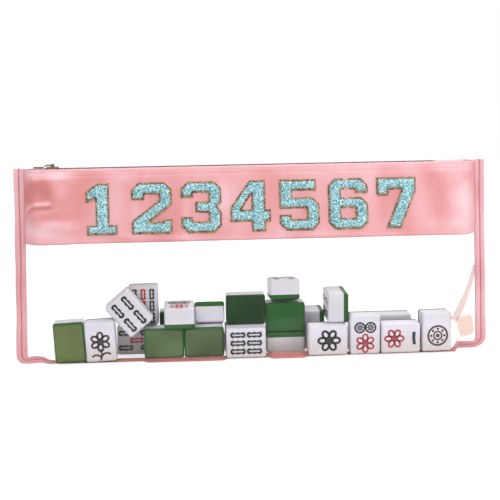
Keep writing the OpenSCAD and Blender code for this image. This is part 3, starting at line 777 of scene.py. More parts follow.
def buildBand(name, side, node):
    xs = [x * (bodyX + bandCloth["intoSeam"]) / bodyX for x in closeToEnds(bandCloth["columns"])]
    rows = []
    upper = zipTop + 0.1 + caseShape["bandCloth"] / 2
    tops = [bandPoint(x, 0, side) for x in xs]
    edges = [zipY + side * min(bandCloth["turn"], max(0.9, abs(p[1] - zipY) - 1.4)) for p in tops]
    for k in range(5):
        rows.append([(x, mix(e, p[1] - side * 0.9, k / 4), upper + 0.12 * math.sin(x * 0.21) * (k in (1, 2, 3)))
                     for x, e, p in zip(xs, edges, tops)])
    for k in range(1, 6):                              # round the turned edge
        a = math.radians(90 * k / 5)
        rows.append([(x, p[1] - side * 0.9 * (1 - math.sin(a)), upper - 0.9 * (1 - math.cos(a)))
                     for x, p in zip(xs, tops)])
    for k in range(1, bandCloth["rows"] + 1):
        t = k / bandCloth["rows"]
        rows.append([tuple(bandPoint(x, t, side)) for x in xs])
    if side > 0:
        rows = [row[::-1] for row in rows]
    # painted shade and highlight of each point; the turned top edge takes an even middle value
    paintedShades = [[bandPaintedShade(p[0], p[2], side) if k > 9 else 0.72 for p in row] for k, row in enumerate(rows)]
    flat = gridObject(name, rows)
    toneOf = flat.data.attributes.new("foldShading", "FLOAT", "POINT")
    toneOf.data.foreach_set("value", [tone for row in paintedShades for tone in row])
    band = thickened(flat, caseShape["bandCloth"])
    dress(band, bandNylon)
    place(band, "case", "pink_nylon", node)


buildBand("frontBand", -1, "front_band")
buildBand("backBand", 1, "back_band")
print("bands ready")


# what repeats is grown by Geometry Nodes

# A tree with sizes in millimetres as named inputs, and short ways to fill it
class Growth:
    def __init__(self, name, source, sizes, result, seed=None):
        self.tree = bpy.data.node_groups.new(name, "GeometryNodeTree")
        face = self.tree.interface
        face.new_socket(source, in_out="INPUT", socket_type="NodeSocketGeometry")
        for label, value in sizes.items():
            face.new_socket(label, in_out="INPUT", socket_type="NodeSocketFloat").default_value = value * mm
        if seed is not None:
            face.new_socket("Seed", in_out="INPUT", socket_type="NodeSocketInt").default_value = seed
        face.new_socket(result, in_out="OUTPUT", socket_type="NodeSocketGeometry")
        self.given = self.add("NodeGroupInput")
        self.result = self.tree.nodes.new("NodeGroupOutput")

    # Adds a node and gives its outputs; an input may be a value or another node's output
    def add(self, kind, inputs=None, **settings):
        made = self.tree.nodes.new(kind)
        for key, value in settings.items():
            setattr(made, key, value)
        for key, value in (inputs or {}).items():
            if isinstance(value, bpy.types.NodeSocket):
                self.tree.links.new(value, made.inputs[key])
            else:
                made.inputs[key].default_value = value
        return made.outputs

    def alongPath(self):
        line = self.add("GeometryNodeMeshToCurve", {"Mesh": self.given["Path"]})
        return self.add("GeometryNodeResampleCurve", {"Curve": line["Curve"], "Length": self.given["Pitch"]},
                        mode="LENGTH")["Curve"]

    def scattered(self, source, density):
        return self.add("GeometryNodeDistributePointsOnFaces", {
            "Mesh": self.given[source], "Distance Min": self.given["Spacing"], "Density Max": density,
            "Seed": self.given["Seed"]}, distribute_method="POISSON")

    def turnedBy(self, rotation, euler):
        return self.add("FunctionNodeRotateEuler", {"Rotation": rotation, "Rotate By": euler},
                        rotation_type="EULER", space="LOCAL")["Rotation"]

    # Turns an item upright by a quarter about X
    def quarterTurned(self, item):
        return self.add("GeometryNodeTransform", {"Geometry": item, "Rotation": (math.pi / 2, 0, 0)})["Geometry"]

    # One item on each point, made real, beside what it grows on if kept, and in its material
    def finished(self, material, kept=None, **placed):
        puts = self.add("GeometryNodeInstanceOnPoints", placed)
        grown = self.add("GeometryNodeRealizeInstances", {"Geometry": puts["Instances"]})["Geometry"]
        if kept:
            both = self.tree.nodes.new("GeometryNodeJoinGeometry")
            for part in (grown, self.given[kept]):
                self.tree.links.new(part, both.inputs["Geometry"])
            grown = both.outputs["Geometry"]
        wear = self.add("GeometryNodeSetMaterial", {"Geometry": grown, "Material": material})
        self.tree.links.new(wear["Geometry"], self.result.inputs[0])
        return self.tree


stitchRow = {"Pitch": 3.1, "Length": 2.3, "Thickness": 0.55}


def stitchTree(name, material):
    growth = Growth(name, "Path", stitchRow, "Stitches")
    bead = growth.add("GeometryNodeMeshUVSphere", {"Segments": 8, "Rings": 5, "Radius": 0.5})
    thick = growth.given["Thickness"]
    size = growth.add("ShaderNodeCombineXYZ", {"X": thick, "Y": thick, "Z": growth.given["Length"]})
    way = growth.add("GeometryNodeInputTangent")["Tangent"]
    turn = growth.add("FunctionNodeAlignRotationToVector", {"Vector": way}, axis="Z")
    return growth.finished(material, Points=growth.alongPath(), Instance=bead["Mesh"], Rotation=turn["Rotation"],
                           Scale=size["Vector"])


# Edges along lists of points in millimetres
def pathObject(name, lines):
    points, edges = [], []
    for line in lines:
        base = len(points)
        points += [tuple(Vector(p) * mm) for p in line]
        edges += [(base + k, base + k + 1) for k in range(len(line) - 1)]
    mesh = bpy.data.meshes.new(name)
    mesh.from_pydata(points, edges, [])
    return added(name, mesh)


# Runs a Geometry Nodes tree on an object and keeps the plain mesh
def grown(made, tree, values=None):
    growth = made.modifiers.new("grown", "NODES")
    growth.node_group = tree
    for item in tree.interface.items_tree:
        if values and item.item_type == "SOCKET" and item.in_out == "INPUT" and item.name in values:
            growth[item.identifier] = values[item.name]
    smoothFaces(applied(made).data)
    made.data.update()
    return made


threadTree = stitchTree("threadStitches", threadPink)
bandThreads = []
for bandSide in (-1, 1):
    for seamZ in (bandCloth["hemZ"], bandCloth["footZ"]):
        share = (caseHeight - seamZ) / caseShape["bandHeight"]
        bandThreads.append([bandPoint(k * 1.5, share, bandSide, 0.42) for k in range(-149, 150)])
bandStitches = grown(pathObject("bandStitches", bandThreads), threadTree, {"Thickness": 0.4 * mm})
place(bandStitches, "case", "pink_nylon")


# folded binding

bindingTape = {
    "halfThick": 1.0,
    "valley": 0.42,        # half thickness along the stitched line
    "valleyAt": 5.3,       # from the inner edge
    "drift": 1.1,          # how far the stitched line strays
    "pucker": 0.2,         # swell between stitches
    "wander": 0.75,        # soft waviness of the tape
    "pressed": 0.62,       # thickness left under the tiles' weight
    "stands": 2.7,         # how far its ends rise past the band's corners
    "tilt": 2.6,           # inner edge held up in the gap between the front tiles
    "slim": 0.36,          # share of its width lost where it is drawn round the low corners
    "turnRound": 2.2,      # reach of the rounding of its turns
    "slot": 0.5,           # half of the opening that holds the sheets
}


# Half thickness of the folded tape at u from its inner edge
def tapeHalf(u):
    wide = caseShape["bindingWidth"]
    dip = math.exp(-((u - bindingTape["valleyAt"]) / 1.2) ** 2)
    body = mix(bindingTape["halfThick"], bindingTape["valley"], dip)
    outer = math.sqrt(limited(1 - ((u - (wide - 1.6)) / 1.6) ** 2)) if u > wide - 1.6 else 1.0
    lip = mix(0.72, 1.0, smooth(u / 1.2))
    return body * outer * lip


# The stations at even steps, with their turns made round
def smoothedStations():
    points, outs, sheets = (np.array([tuple(v) for v in column]) for column in zip(*bindingStations()))
    run = np.concatenate([[0], np.cumsum(np.linalg.norm(np.diff(points + outs * 5, axis=0), axis=1))])
    even = np.linspace(0, run[-1], 900)
    share = np.exp(-((even[:, None] - run[None, :]) / bindingTape["turnRound"]) ** 2) * np.gradient(run)[None, :]
    share /= share.sum(1, keepdims=True)
    points, outs, sheets = share @ points, share @ outs, share @ sheets
    outs /= np.linalg.norm(outs, axis=1, keepdims=True)
    sheets -= outs * (sheets * outs).sum(1, keepdims=True)
    sheets /= np.linalg.norm(sheets, axis=1, keepdims=True)
    return even, points, outs, sheets


def buildBinding():
    run, points, outs, sheets = smoothedStations()
    wide = caseShape["bindingWidth"]
    across = [0, 0.25, 0.6, 1.1, 1.8, 2.6, 3.4, 4.1, 4.7, 5.3, 5.9, 6.5, 7.2, 8.0, 8.8, 9.4, 9.8, 10.1, 10.3, 10.42]
    slot, valleyAt, wander = (bindingTape[key] for key in ("slot", "valleyAt", "wander"))
    rows, frontLine, backLine = [], [], []
    for s, at, out, normal in zip(run, points, outs, sheets):
        at, out, normal = Vector(at), Vector(out), Vector(normal)
        waveN = wander * noise.noise(Vector((s * 0.03, 0.4, 0)))
        flat = 1 - limited(abs(normal[2]) * 1.2 - 0.3)          # calmer where it lies flat
        waveB = wander * flat * noise.noise(Vector((s * 0.045, 7.3, 0)))
        at[2] += bindingTape["stands"] * smooth(limited((at[2] - 140) / 45))
        notSide = limited(1.6 * (1 - abs(out[0])))
        slim = 1 - bindingTape["slim"] * nearCorner(abs(at[0])) * notSide
        at[2] -= dropAt(at[0], abs(out[2]) * notSide)
        lying = limited(abs(out[1]) * 3 - 2)
        shown = lying * smooth((at[0] - 8) / 8) * smooth((58 - at[0]) / 8)
        swell = math.cos(2 * math.pi * s / stitchRow["Pitch"])
        tucked = setBack(at[0]) * lying
        pressed = mix(1, bindingTape["pressed"], tucked / tuckedBinding["depth"])
        strays = bindingTape["drift"] * noise.noise(Vector((s * 0.02, 3.9, 0)))

        def spot(u, v):
            moved = u + waveN * smooth(u / wide) + strays * math.exp(-((u - valleyAt) / 2.4) ** 2)
            raised = Vector((0, 0, bindingTape["tilt"] * shown * (1 - u / wide)))
            return at + (moved * slim - tucked) * out + (v * pressed + waveB) * normal + raised

        def height(u):
            near = math.exp(-((u - valleyAt) / 2.3) ** 2)
            fine = 0.07 * noise.noise(Vector((s * 0.25, u * 0.5, 2.2)))
            return tapeHalf(u) * (1 - bindingTape["pucker"] * near * swell) + fine * flat * smooth((10 - u) / 2)

        ring = [spot(1.6, -slot * 0.6), spot(0.2, -slot)]
        ring += [spot(u, -height(u)) for u in across]
        ring += [spot(wide, 0)]
        ring += [spot(u, height(u)) for u in across[::-1]]
        ring += [spot(0.2, slot), spot(1.6, slot * 0.6)]
        rows.append(ring)
        frontLine.append(spot(valleyAt, -bindingTape["valley"] - 0.05))
        backLine.append(spot(valleyAt, bindingTape["valley"] + 0.05))
    binding = gridObject("edgeBinding", rows, closed=True)
    ringSize = len(rows[0])
    faces = [tuple(range(ringSize))[::-1], tuple(range((len(rows) - 1) * ringSize, len(rows) * ringSize))]
    work = bmesh.new()
    work.from_mesh(binding.data)
    work.verts.ensure_lookup_table()
    for face in faces:                                  # close both ends
        work.faces.new([work.verts[k] for k in face])
    bmesh.ops.recalc_face_normals(work, faces=work.faces)
    work.to_mesh(binding.data)
    work.free()
    smoothFaces(binding.data)
    dress(binding, tapePink, tapeValleyShade)
    valleyShadeStrips = [10, 11, ringSize - 12, ringSize - 13]      # painted shade: the strips beside the stitched line, on both faces
    marks = [1 if k % ringSize in valleyShadeStrips else 0 for k in range((len(rows) - 1) * ringSize)] + [0, 0]
    binding.data.polygons.foreach_set("material_index", marks)
    place(binding, "case", "pink_tape", "edge_binding")
    place(grown(pathObject("bindingStitches", [frontLine, backLine]), threadTree), "case", "pink_tape")


buildBinding()
print("binding ready")


# rounded blocks, for tabs and tiles

# Points and quads of a block with round edges, centred on nothing, in millimetres
def roundedBlock(sizeX, sizeY, sizeZ, radius, steps=4, cutsX=(), cutsY=(), cutsZ=()):
    halves = (sizeX / 2, sizeY / 2, sizeZ / 2)

    def marks(half, cuts):
        edge = [half - radius + radius * math.tan(math.radians(45 * k / steps)) for k in range(steps + 1)]
        return sorted([-e for e in edge] + edge + [c for c in cuts if abs(c) < half - radius])

    lines = [marks(h, c) for h, c in zip(halves, (cutsX, cutsY, cutsZ))]
    spots, points, faces = {}, [], []

    def number(p):
        key = tuple(round(c, 4) for c in p)
        if key not in spots:
            core = Vector([limited(c, -(h - radius), h - radius) for c, h in zip(p, halves)])
            away = Vector(p) - core
            spots[key] = len(points)
            points.append(core + away.normalized() * radius if away.length > 1e-6 else Vector(p))
        return spots[key]

    for axis in range(3):
        u, v = (axis + 1) % 3, (axis + 2) % 3
        for end in (-1, 1):
            for a0, a1 in zip(lines[u], lines[u][1:]):
                for b0, b1 in zip(lines[v], lines[v][1:]):
                    corners = []
                    for a, b in ((a0, b0), (a1, b0), (a1, b1), (a0, b1)):
                        p = [0, 0, 0]
                        p[axis], p[u], p[v] = end * halves[axis], a, b
                        corners.append(number(p))
                    faces.append(tuple(corners if end > 0 else corners[::-1]))
    return points, faces


# zip: tapes, teeth, stops and end tabs

zipParts = {
    "end": seamX - caseShape["topTaper"] - 1,
    "pitch": 3.0,
    "reach": 2.2,
    "tall": 1.5,
    "gap": 1.6,
    "leftTab": 9.0,
    "rightTab": 30.0,
    "stop": 1.8,
}
zipEnd = zipParts["end"]
tabOut = zipEnd + 1
leftTabX = -tabOut + zipParts["leftTab"]
rightTabX = tabOut - zipParts["rightTab"]
toothX0 = leftTabX + 0.1 + zipParts["stop"] + 0.6
endStopX = rightTabX - 2.6
toothIn = zipParts["gap"] / 2
toothOut = toothIn + zipParts["reach"]
toothCount = int((endStopX - 0.4 - toothX0) / zipParts["pitch"])


def buildTape(name, side, node):
    ys = [zipY + side * mix(toothIn, caseShape["zipWidth"] / 2, k / 8) for k in range(9)][::side]
    middle = caseHeight + caseShape["zipTape"] / 2
    xs = [mix(-zipEnd, zipEnd, k / 160) for k in range(161)]
    rows = [[(x, y, middle + 0.05 * math.sin(x * 0.35)) for y in ys] for x in xs]
    tape = thickened(gridObject(name, rows), caseShape["zipTape"])
    dress(tape, zipCloth)
    place(tape, "case", "zip_cloth", node)


# Round coil teeth along a line, all across it
def toothTree():
    growth = Growth("zipTeeth", "Path", {"Pitch": zipParts["pitch"], "Reach": zipParts["reach"],
                                         "Height": zipParts["tall"], "Length": zipParts["pitch"] * 0.45}, "Teeth")
    tooth = growth.add("GeometryNodeMeshCylinder", {"Vertices": 12, "Radius": 0.5, "Depth": 1.0})
    size = growth.add("ShaderNodeCombineXYZ", {"X": growth.given["Length"], "Y": growth.given["Reach"],
                                               "Z": growth.given["Height"]})
    return growth.finished(zipTeethMetal, Points=growth.alongPath(), Instance=growth.quarterTurned(tooth["Mesh"]),
                           Scale=size["Vector"])


def buildTeeth():
    tree = toothTree()
    z = zipTop + zipParts["tall"] / 2
    for side, shift, name, node in ((-1, 0.225, "teethFront", "zip_teeth_front"),
                                    (1, 0.725, "teethBack", "zip_teeth_back")):
        first = toothX0 + shift * zipParts["pitch"]
        last = first + (toothCount - 1) * zipParts["pitch"] + 0.01
        y = zipY + side * (toothIn + toothOut) / 2
        place(grown(pathObject(name, [[(first, y, z), (last, y, z)]]), tree), "case", "zip_metal", node)


def buildTab(name, x0, x1, node):
    low, high = caseHeight - 0.95, zipTop + 0.95
    points, faces = roundedBlock(x1 - x0, 9.2, high - low, 1.1, 4,
                                 [(x1 - x0) * (k / 14 - 0.5) for k in range(1, 14)],
                                 [k * 0.9 for k in range(-3, 4)])
    middle = Vector(((x0 + x1) / 2, zipY, (low + high) / 2))
    moved = []
    for p in points:
        soft = 0.16 * noise.noise(Vector((p[0] * 0.35, p[1] * 0.3, 4.0 + p[2] * 0.05)))
        moved.append((p + middle + Vector((0, 0, soft))) * mm)
    tab = meshObject(name, moved, faces)
    dress(tab, nylonPink)
    place(tab, "case", "pink_nylon", node)


def buildZip():
    buildTape("zipTapeFront", -1, "zip_tape_front")
    buildTape("zipTapeBack", 1, "zip_tape_back")
    buildTeeth()
    buildTab("leftTab", -tabOut, leftTabX, "left_end_tab")
    buildTab("rightTab", rightTabX, tabOut, "right_end_tab")
    lines = [[(x, zipY + y, zipTop + 1.05) for y in (-4.2, 4.2)] for x in (leftTabX - 1.6, rightTabX + 1.6)]
    stitches = grown(pathObject("tabStitches", lines), threadTree, {"Pitch": 2.1 * mm, "Length": 1.5 * mm})
    place(stitches, "case", "pink_nylon")
    for node in ("top_stops", "end_stop", "slider", "pull"):
        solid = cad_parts[node]
        dress(solid, antiqueBrass)
        solid.data.polygons.foreach_set("material_index", [0] * len(solid.data.polygons))


buildZip()
print("zip ready")


# chenille numeral patches

patchShape = {
    "tall": 51.0,
    "wide": 42.0,
    "pitch": 48.7,
    "middle": patchMiddle,
    "rise": 7.5,
    "edging": 2.4,
    "backing": 1.0,
    "pile": 3.0,
    "round": 3.4,          # the pile's edge rolls over within this
}
numerals = [
    [(6, 0), (36, 0), (36, 10), (28, 10), (28, 51), (16, 51), (5, 42), (5, 32), (14.5, 36), (14.5, 10), (6, 10)],
    [(1, 0), (41, 0), (41, 14), (32, 14), (32, 12), (19, 12), (41, 29), (41, 44), (34, 51), (8, 51), (1, 44),
     (1, 34), (14, 34), (14, 39), (28, 39), (28, 33), (1, 13)],
    [(1, 7), (8, 0), (34, 0), (41, 7), (41, 21), (37, 25.5), (41, 30), (41, 44), (34, 51), (8, 51), (1, 44),
     (1, 35), (13, 35), (13, 39.5), (28, 39.5), (28, 31), (15, 31), (15, 20), (28, 20), (28, 11.5), (13, 11.5),
     (13, 16), (1, 16)],
    [(1, 10), (22, 10), (22, 0), (36, 0), (36, 10), (41, 10), (41, 22), (36, 22), (36, 51), (20, 51), (1, 24)],
    [(1, 7), (8, 0), (34, 0), (41, 7), (41, 26), (34, 33), (14, 33), (14, 39.5), (38, 39.5), (38, 51), (1, 51),
     (1, 22), (28, 22), (28, 11.5), (13, 11.5), (13, 16), (1, 16)],
    [(8, 0), (34, 0), (41, 7), (41, 25), (34, 32), (14, 32), (14, 39.5), (28, 39.5), (28, 36), (41, 36),
     (41, 44), (34, 51), (8, 51), (1, 44), (1, 7)],
    [(10, 0), (25, 0), (41, 38), (41, 51), (1, 51), (1, 33), (13, 33), (13, 38.5), (26, 38.5)],
]
counters = {3: [[(12, 22), (22, 22), (22, 37)]], 5: [[(14, 11.5), (28, 11.5), (28, 21), (14, 21)]]}
bandLean = math.atan((zipY - topHalf - caseShape["frontY"] + caseShape["sheet"] / 2)
                     / (caseHeight - caseShape["footZ"]))


def fitted(outline):
    return np.array([((x / 42 - 0.5) * patchShape["wide"], y / 51 * patchShape["tall"]) for x, y in outline])


# Distance from each spot to the nearest edge, positive inside the figure
def insideDepth(spots, outlines):
    nearest = np.full(len(spots), 1e9)
    inside = np.zeros(len(spots), bool)
    for outline in outlines:
        for a, b in zip(outline, np.roll(outline, -1, axis=0)):
            along = b - a
            t = np.clip(((spots - a) @ along) / (along @ along), 0, 1)
            away = np.linalg.norm(spots - (a + t[:, None] * along), axis=1)
            nearest = np.minimum(nearest, away)
            crosses = (a[1] > spots[:, 1]) != (b[1] > spots[:, 1])
            rise = b[1] - a[1] if b[1] != a[1] else 1e-9
            inside ^= crosses & (spots[:, 0] < a[0] + (spots[:, 1] - a[1]) / rise * along[0])
    return np.where(inside, nearest, -nearest)


# Places a flat shape, up along Z, on the front band at patch k
def onBand(k):
    z0 = bandZ + patchShape["rise"]
    gap = (caseShape["bandCloth"] + caseShape["sheet"]) / 2 + caseShape["clear"]
    stand = gap / math.cos(bandLean) + caseShape["bandCloth"] / 2 + caseShape["clear"]
    x = patchShape["middle"] + (k - 3) * patchShape["pitch"]
    return (Matrix.Translation(Vector((x, openY(z0, -1) - stand, z0)) * mm)
            @ Matrix.Rotation(math.pi / 2 - bandLean, 4, "X"))


# Turns worked faces into an object on the band at patch k
def onPatch(name, work, k):
    mesh = bpy.data.meshes.new(name)
    work.to_mesh(mesh)
    work.free()
    mesh.transform(onBand(k))
    smoothFaces(mesh)
    return added(name, mesh)


# Height of the pile at this far in from its edge
def domeOf(depth):
    roll = limited(depth / patchShape["round"])
    return patchShape["pile"] * (0.42 + 0.48 * math.sqrt(1 - (1 - roll) ** 2))


# Felt and glitter backing: the figure with a small rolled rim
def buildBacking(k, outlines):
    line = bpy.data.curves.new(f"patchBacking{k + 1}", "CURVE")
    line.dimensions = "2D"
    line.fill_mode = "BOTH"
    line.extrude = (patchShape["backing"] / 2 - 0.25) * mm
    line.bevel_depth = 0.25 * mm
    line.bevel_resolution = 2
    line.offset = -0.25 * mm
    for outline in outlines:
        spline = line.splines.new("POLY")
        spline.points.add(len(outline) - 1)
        for spot, (x, y) in zip(spline.points, outline):
            spot.co = (x * mm, y * mm, patchShape["backing"] / 2 * mm, 1)
        spline.use_cyclic_u = True
    solid = added(line.name, line)
    mesh = plainMesh(solid)
    bpy.data.objects.remove(solid)
    mesh.transform(onBand(k) @ Matrix.Translation((0, 0, patchShape["backing"] / 2 * mm)))
    made = added(f"patchBacking{k + 1}", mesh)
    dress(made, glitterGold)
    place(made, "case", "felt_backing", f"patch_backing_{k + 1}")


# The pile's rolled body, which the loops cover
def buildPileBase(k, outlines):
    step = 0.7
    wide, tall = patchShape["wide"], patchShape["tall"]
    xs = np.arange(-wide / 2, wide / 2 + step, step)
    ys = np.arange(0, tall + step, step)
    spots = np.array([(x, y) for y in ys for x in xs])
    depth = insideDepth(spots, outlines) - patchShape["edging"]
    base = patchShape["backing"]
    work = bmesh.new()
    made = {i: work.verts.new(Vector((*spots[i], base + domeOf(max(0.0, depth[i])))) * mm)
            for i in np.flatnonzero(depth > -0.3)}
    for r in range(len(ys) - 1):
        for c in range(len(xs) - 1):
            a = r * len(xs) + c
            ring = (a, a + 1, a + 1 + len(xs), a + len(xs))
            if all(i in made for i in ring):
                work.faces.new([made[i] for i in ring])
    loose = [v for v in work.verts if not v.link_faces]
    bmesh.ops.delete(work, geom=loose, context="VERTS")
    rim = [e for e in work.edges if e.is_boundary]
    walls = bmesh.ops.extrude_edge_only(work, edges=rim)          # wall down to the backing
    for item in walls["geom"]:
        if isinstance(item, bmesh.types.BMVert):
            item.co.z = base * mm
    bmesh.ops.recalc_face_normals(work, faces=work.faces)
    return onPatch(f"patchPile{k + 1}", work, k)


# Small standing yarn loops scattered over the pile's body
def loopTree():
    growth = Growth("chenilleLoops", "Pile", {"Spacing": 1.02, "Loop": 0.62, "Yarn": 0.27}, "Loops", seed=3)
    spots = growth.scattered("Pile", 1.6e6)
    arc = growth.add("GeometryNodeCurveArc", {
        "Resolution": 6, "Start Angle": math.radians(-30), "Sweep Angle": math.radians(240),
        "Radius": growth.given["Loop"]}, mode="RADIUS")
    ring = growth.add("GeometryNodeCurvePrimitiveCircle", {"Resolution": 5, "Radius": growth.given["Yarn"]})
    yarn = growth.add("GeometryNodeCurveToMesh", {"Curve": arc["Curve"], "Profile Curve": ring["Curve"],
                                                  "Fill Caps": False})
    spin = growth.add("FunctionNodeRandomValue", {2: 0, 3: 2 * math.pi}, data_type="FLOAT")
    way = growth.add("ShaderNodeCombineXYZ", {"Z": spin[1]})
    lean = growth.add("FunctionNodeRandomValue", {0: (-0.55, -0.55, 0), 1: (0.55, 0.55, 0),
                                                  "Seed": growth.given["Seed"]}, data_type="FLOAT_VECTOR")
    tilt = growth.add("ShaderNodeVectorMath", {0: way["Vector"], 1: lean[0]}, operation="ADD")
    size = growth.add("FunctionNodeRandomValue", {2: 0.8, 3: 1.25}, data_type="FLOAT")
    return growth.finished(chenilleTurquoise, kept="Pile", Points=spots["Points"],
                           Instance=growth.quarterTurned(yarn["Mesh"]), Scale=size[1],
                           Rotation=growth.turnedBy(spots["Rotation"], tilt["Vector"]))


# Glitter flecks on the edging, each a small flat hexagon
def fleckTree():
    growth = Growth("glitterFlecks", "Edging", {"Spacing": 0.62, "Fleck": 0.42}, "Flecks", seed=11)
    spots = growth.scattered("Edging", 3.2e6)
    flake = growth.add("GeometryNodeMeshCircle", {"Vertices": 6, "Radius": growth.given["Fleck"]}, fill_type="NGON")
    lean = growth.add("FunctionNodeRandomValue", {0: (-0.7, -0.7, -3), 1: (0.7, 0.7, 3)}, data_type="FLOAT_VECTOR")
    return growth.finished(glitterFleck, Points=spots["Points"], Instance=flake["Mesh"],
                           Rotation=growth.turnedBy(spots["Rotation"], lean[0]))


# Turquoise pile with painted highlights on the loops and painted shade between them
def chenilleMaterial():
    material, wires = newMaterial("chenilleTurquoise")
    shader = wires.shader(Roughness=0.75, Sheen_Weight=0.5, Sheen_Roughness=0.5)
    spot = wires.where()
    loops = wires.noisy(spot, 640, 3, 0.7)
    tint = wires.ramp(loops, [(0.40, (0.035, 0.21, 0.28)), (0.49, (0.20, 0.55, 0.62)), (0.56, (0.78, 0.97, 0.98))])
    drift = wires.noisy(spot, 60, 2)
    tone = wires.ramp(drift, [(0.3, (0.86, 0.88, 0.88)), (0.7, (1, 1, 1))])
    wires.link(wires.blended(tint, tone, 1.0, "MULTIPLY"), shader.inputs["Base Color"])
    wires.link(wires.bump(loops, 0.0005, 0.6), shader.inputs["Normal"])
    return material


def glitterMaterial(name, dark, bright, scale, metal, rough):
    material, wires = newMaterial(name)
    shader = wires.shader(Roughness=rough, Metallic=metal)
    flake = wires.add("ShaderNodeTexVoronoi")
    flake.inputs["Scale"].default_value = scale
    wires.link(wires.where(), flake.inputs["Vector"])
    middle = tuple(mix(a, b, 0.4) for a, b in zip(dark, bright))
    parts = wires.add("ShaderNodeSeparateColor")
    wires.link(flake.outputs["Color"], parts.inputs["Color"])
    tint = wires.ramp(parts.outputs["Red"], [(0.25, dark), (0.6, middle), (0.74, bright)])
    wires.link(tint, shader.inputs["Base Color"])
    return material


chenilleTurquoise = chenilleMaterial()
glitterGold = glitterMaterial("glitterGold", (0.13, 0.06, 0.03), (0.52, 0.36, 0.18), 900, 0.25, 0.5)
glitterFleck = glitterMaterial("glitterFleck", (0.13, 0.055, 0.03), (1.0, 0.88, 0.62), 760, 0.3, 0.3)


# Cells between the rim and the pile, for the flecks to lie on
def buildEdging(k, outlines):
    step = 0.8
    xs = np.arange(-patchShape["wide"] / 2, patchShape["wide"] / 2, step)
    ys = np.arange(0, patchShape["tall"], step)
    spots = np.array([(x + step / 2, y + step / 2) for y in ys for x in xs])
    z = patchShape["backing"] + 0.12
    work = bmesh.new()
    for (x, y), depth in zip(spots, insideDepth(spots, outlines)):
        if 0.3 < depth < patchShape["edging"] + 0.4:
            ring = [(x + a * step / 2, y + b * step / 2, z) for a, b in ((-1, -1), (1, -1), (1, 1), (-1, 1))]
            work.faces.new([work.verts.new([v * mm for v in p]) for p in ring])
    return onPatch(f"patchFlecks{k + 1}", work, k)


def buildPatches():
    loops, flecks = loopTree(), fleckTree()
    for k, outline in enumerate(numerals):
        outlines = [fitted(outline)] + [fitted(hole) for hole in counters.get(k, [])]
        buildBacking(k, outlines)
        place(grown(buildEdging(k, outlines), flecks, {"Seed": 11 + k}), "case", "felt_backing")
        pile = grown(buildPileBase(k, outlines), loops, {"Seed": 3 + k})
        place(pile, "case", "chenille_pile", f"patch_pile_{k + 1}")


buildPatches()
print("patches ready")


# tiles

tileShape = {
    "long": 39.5,
    "wide": 30.0,
    "thick": 21.0,
    "back": 5.0,
    "edge": 2.4,
    "gap": 0.4,
    "lean": 2.5,
    "wedge": 40.0,
    "slopeDown": 17.0,
    "slopeUp": 8.0,
}
tileL, tileW, tileT = tileShape["long"], tileShape["wide"], tileShape["thick"]
tileGap = tileShape["gap"]
seamAt = tileT / 2 - tileShape["back"]
ways = {
    "portrait": ((0, 0, 0), (tileW, tileT, tileL)),
    "landscape": ((0, 90, 0), (tileL, tileT, tileW)),
    "portraitBack": ((0, 0, 180), (tileW, tileT, tileL)),
    "landscapeBack": ((0, 90, 180), (tileL, tileT, tileW)),
    "faceUp": ((-90, 0, 0), (tileW, tileL, tileT)),
    "faceDown": ((90, 0, 0), (tileW, tileL, tileT)),
    "faceDownLong": ((90, 0, 90), (tileL, tileW, tileT)),
    "sideways": ((0, 0, -90), (tileT, tileW, tileL)),
    "sidewaysFlat": ((90, 90, 0), (tileT, tileL, tileW)),
}


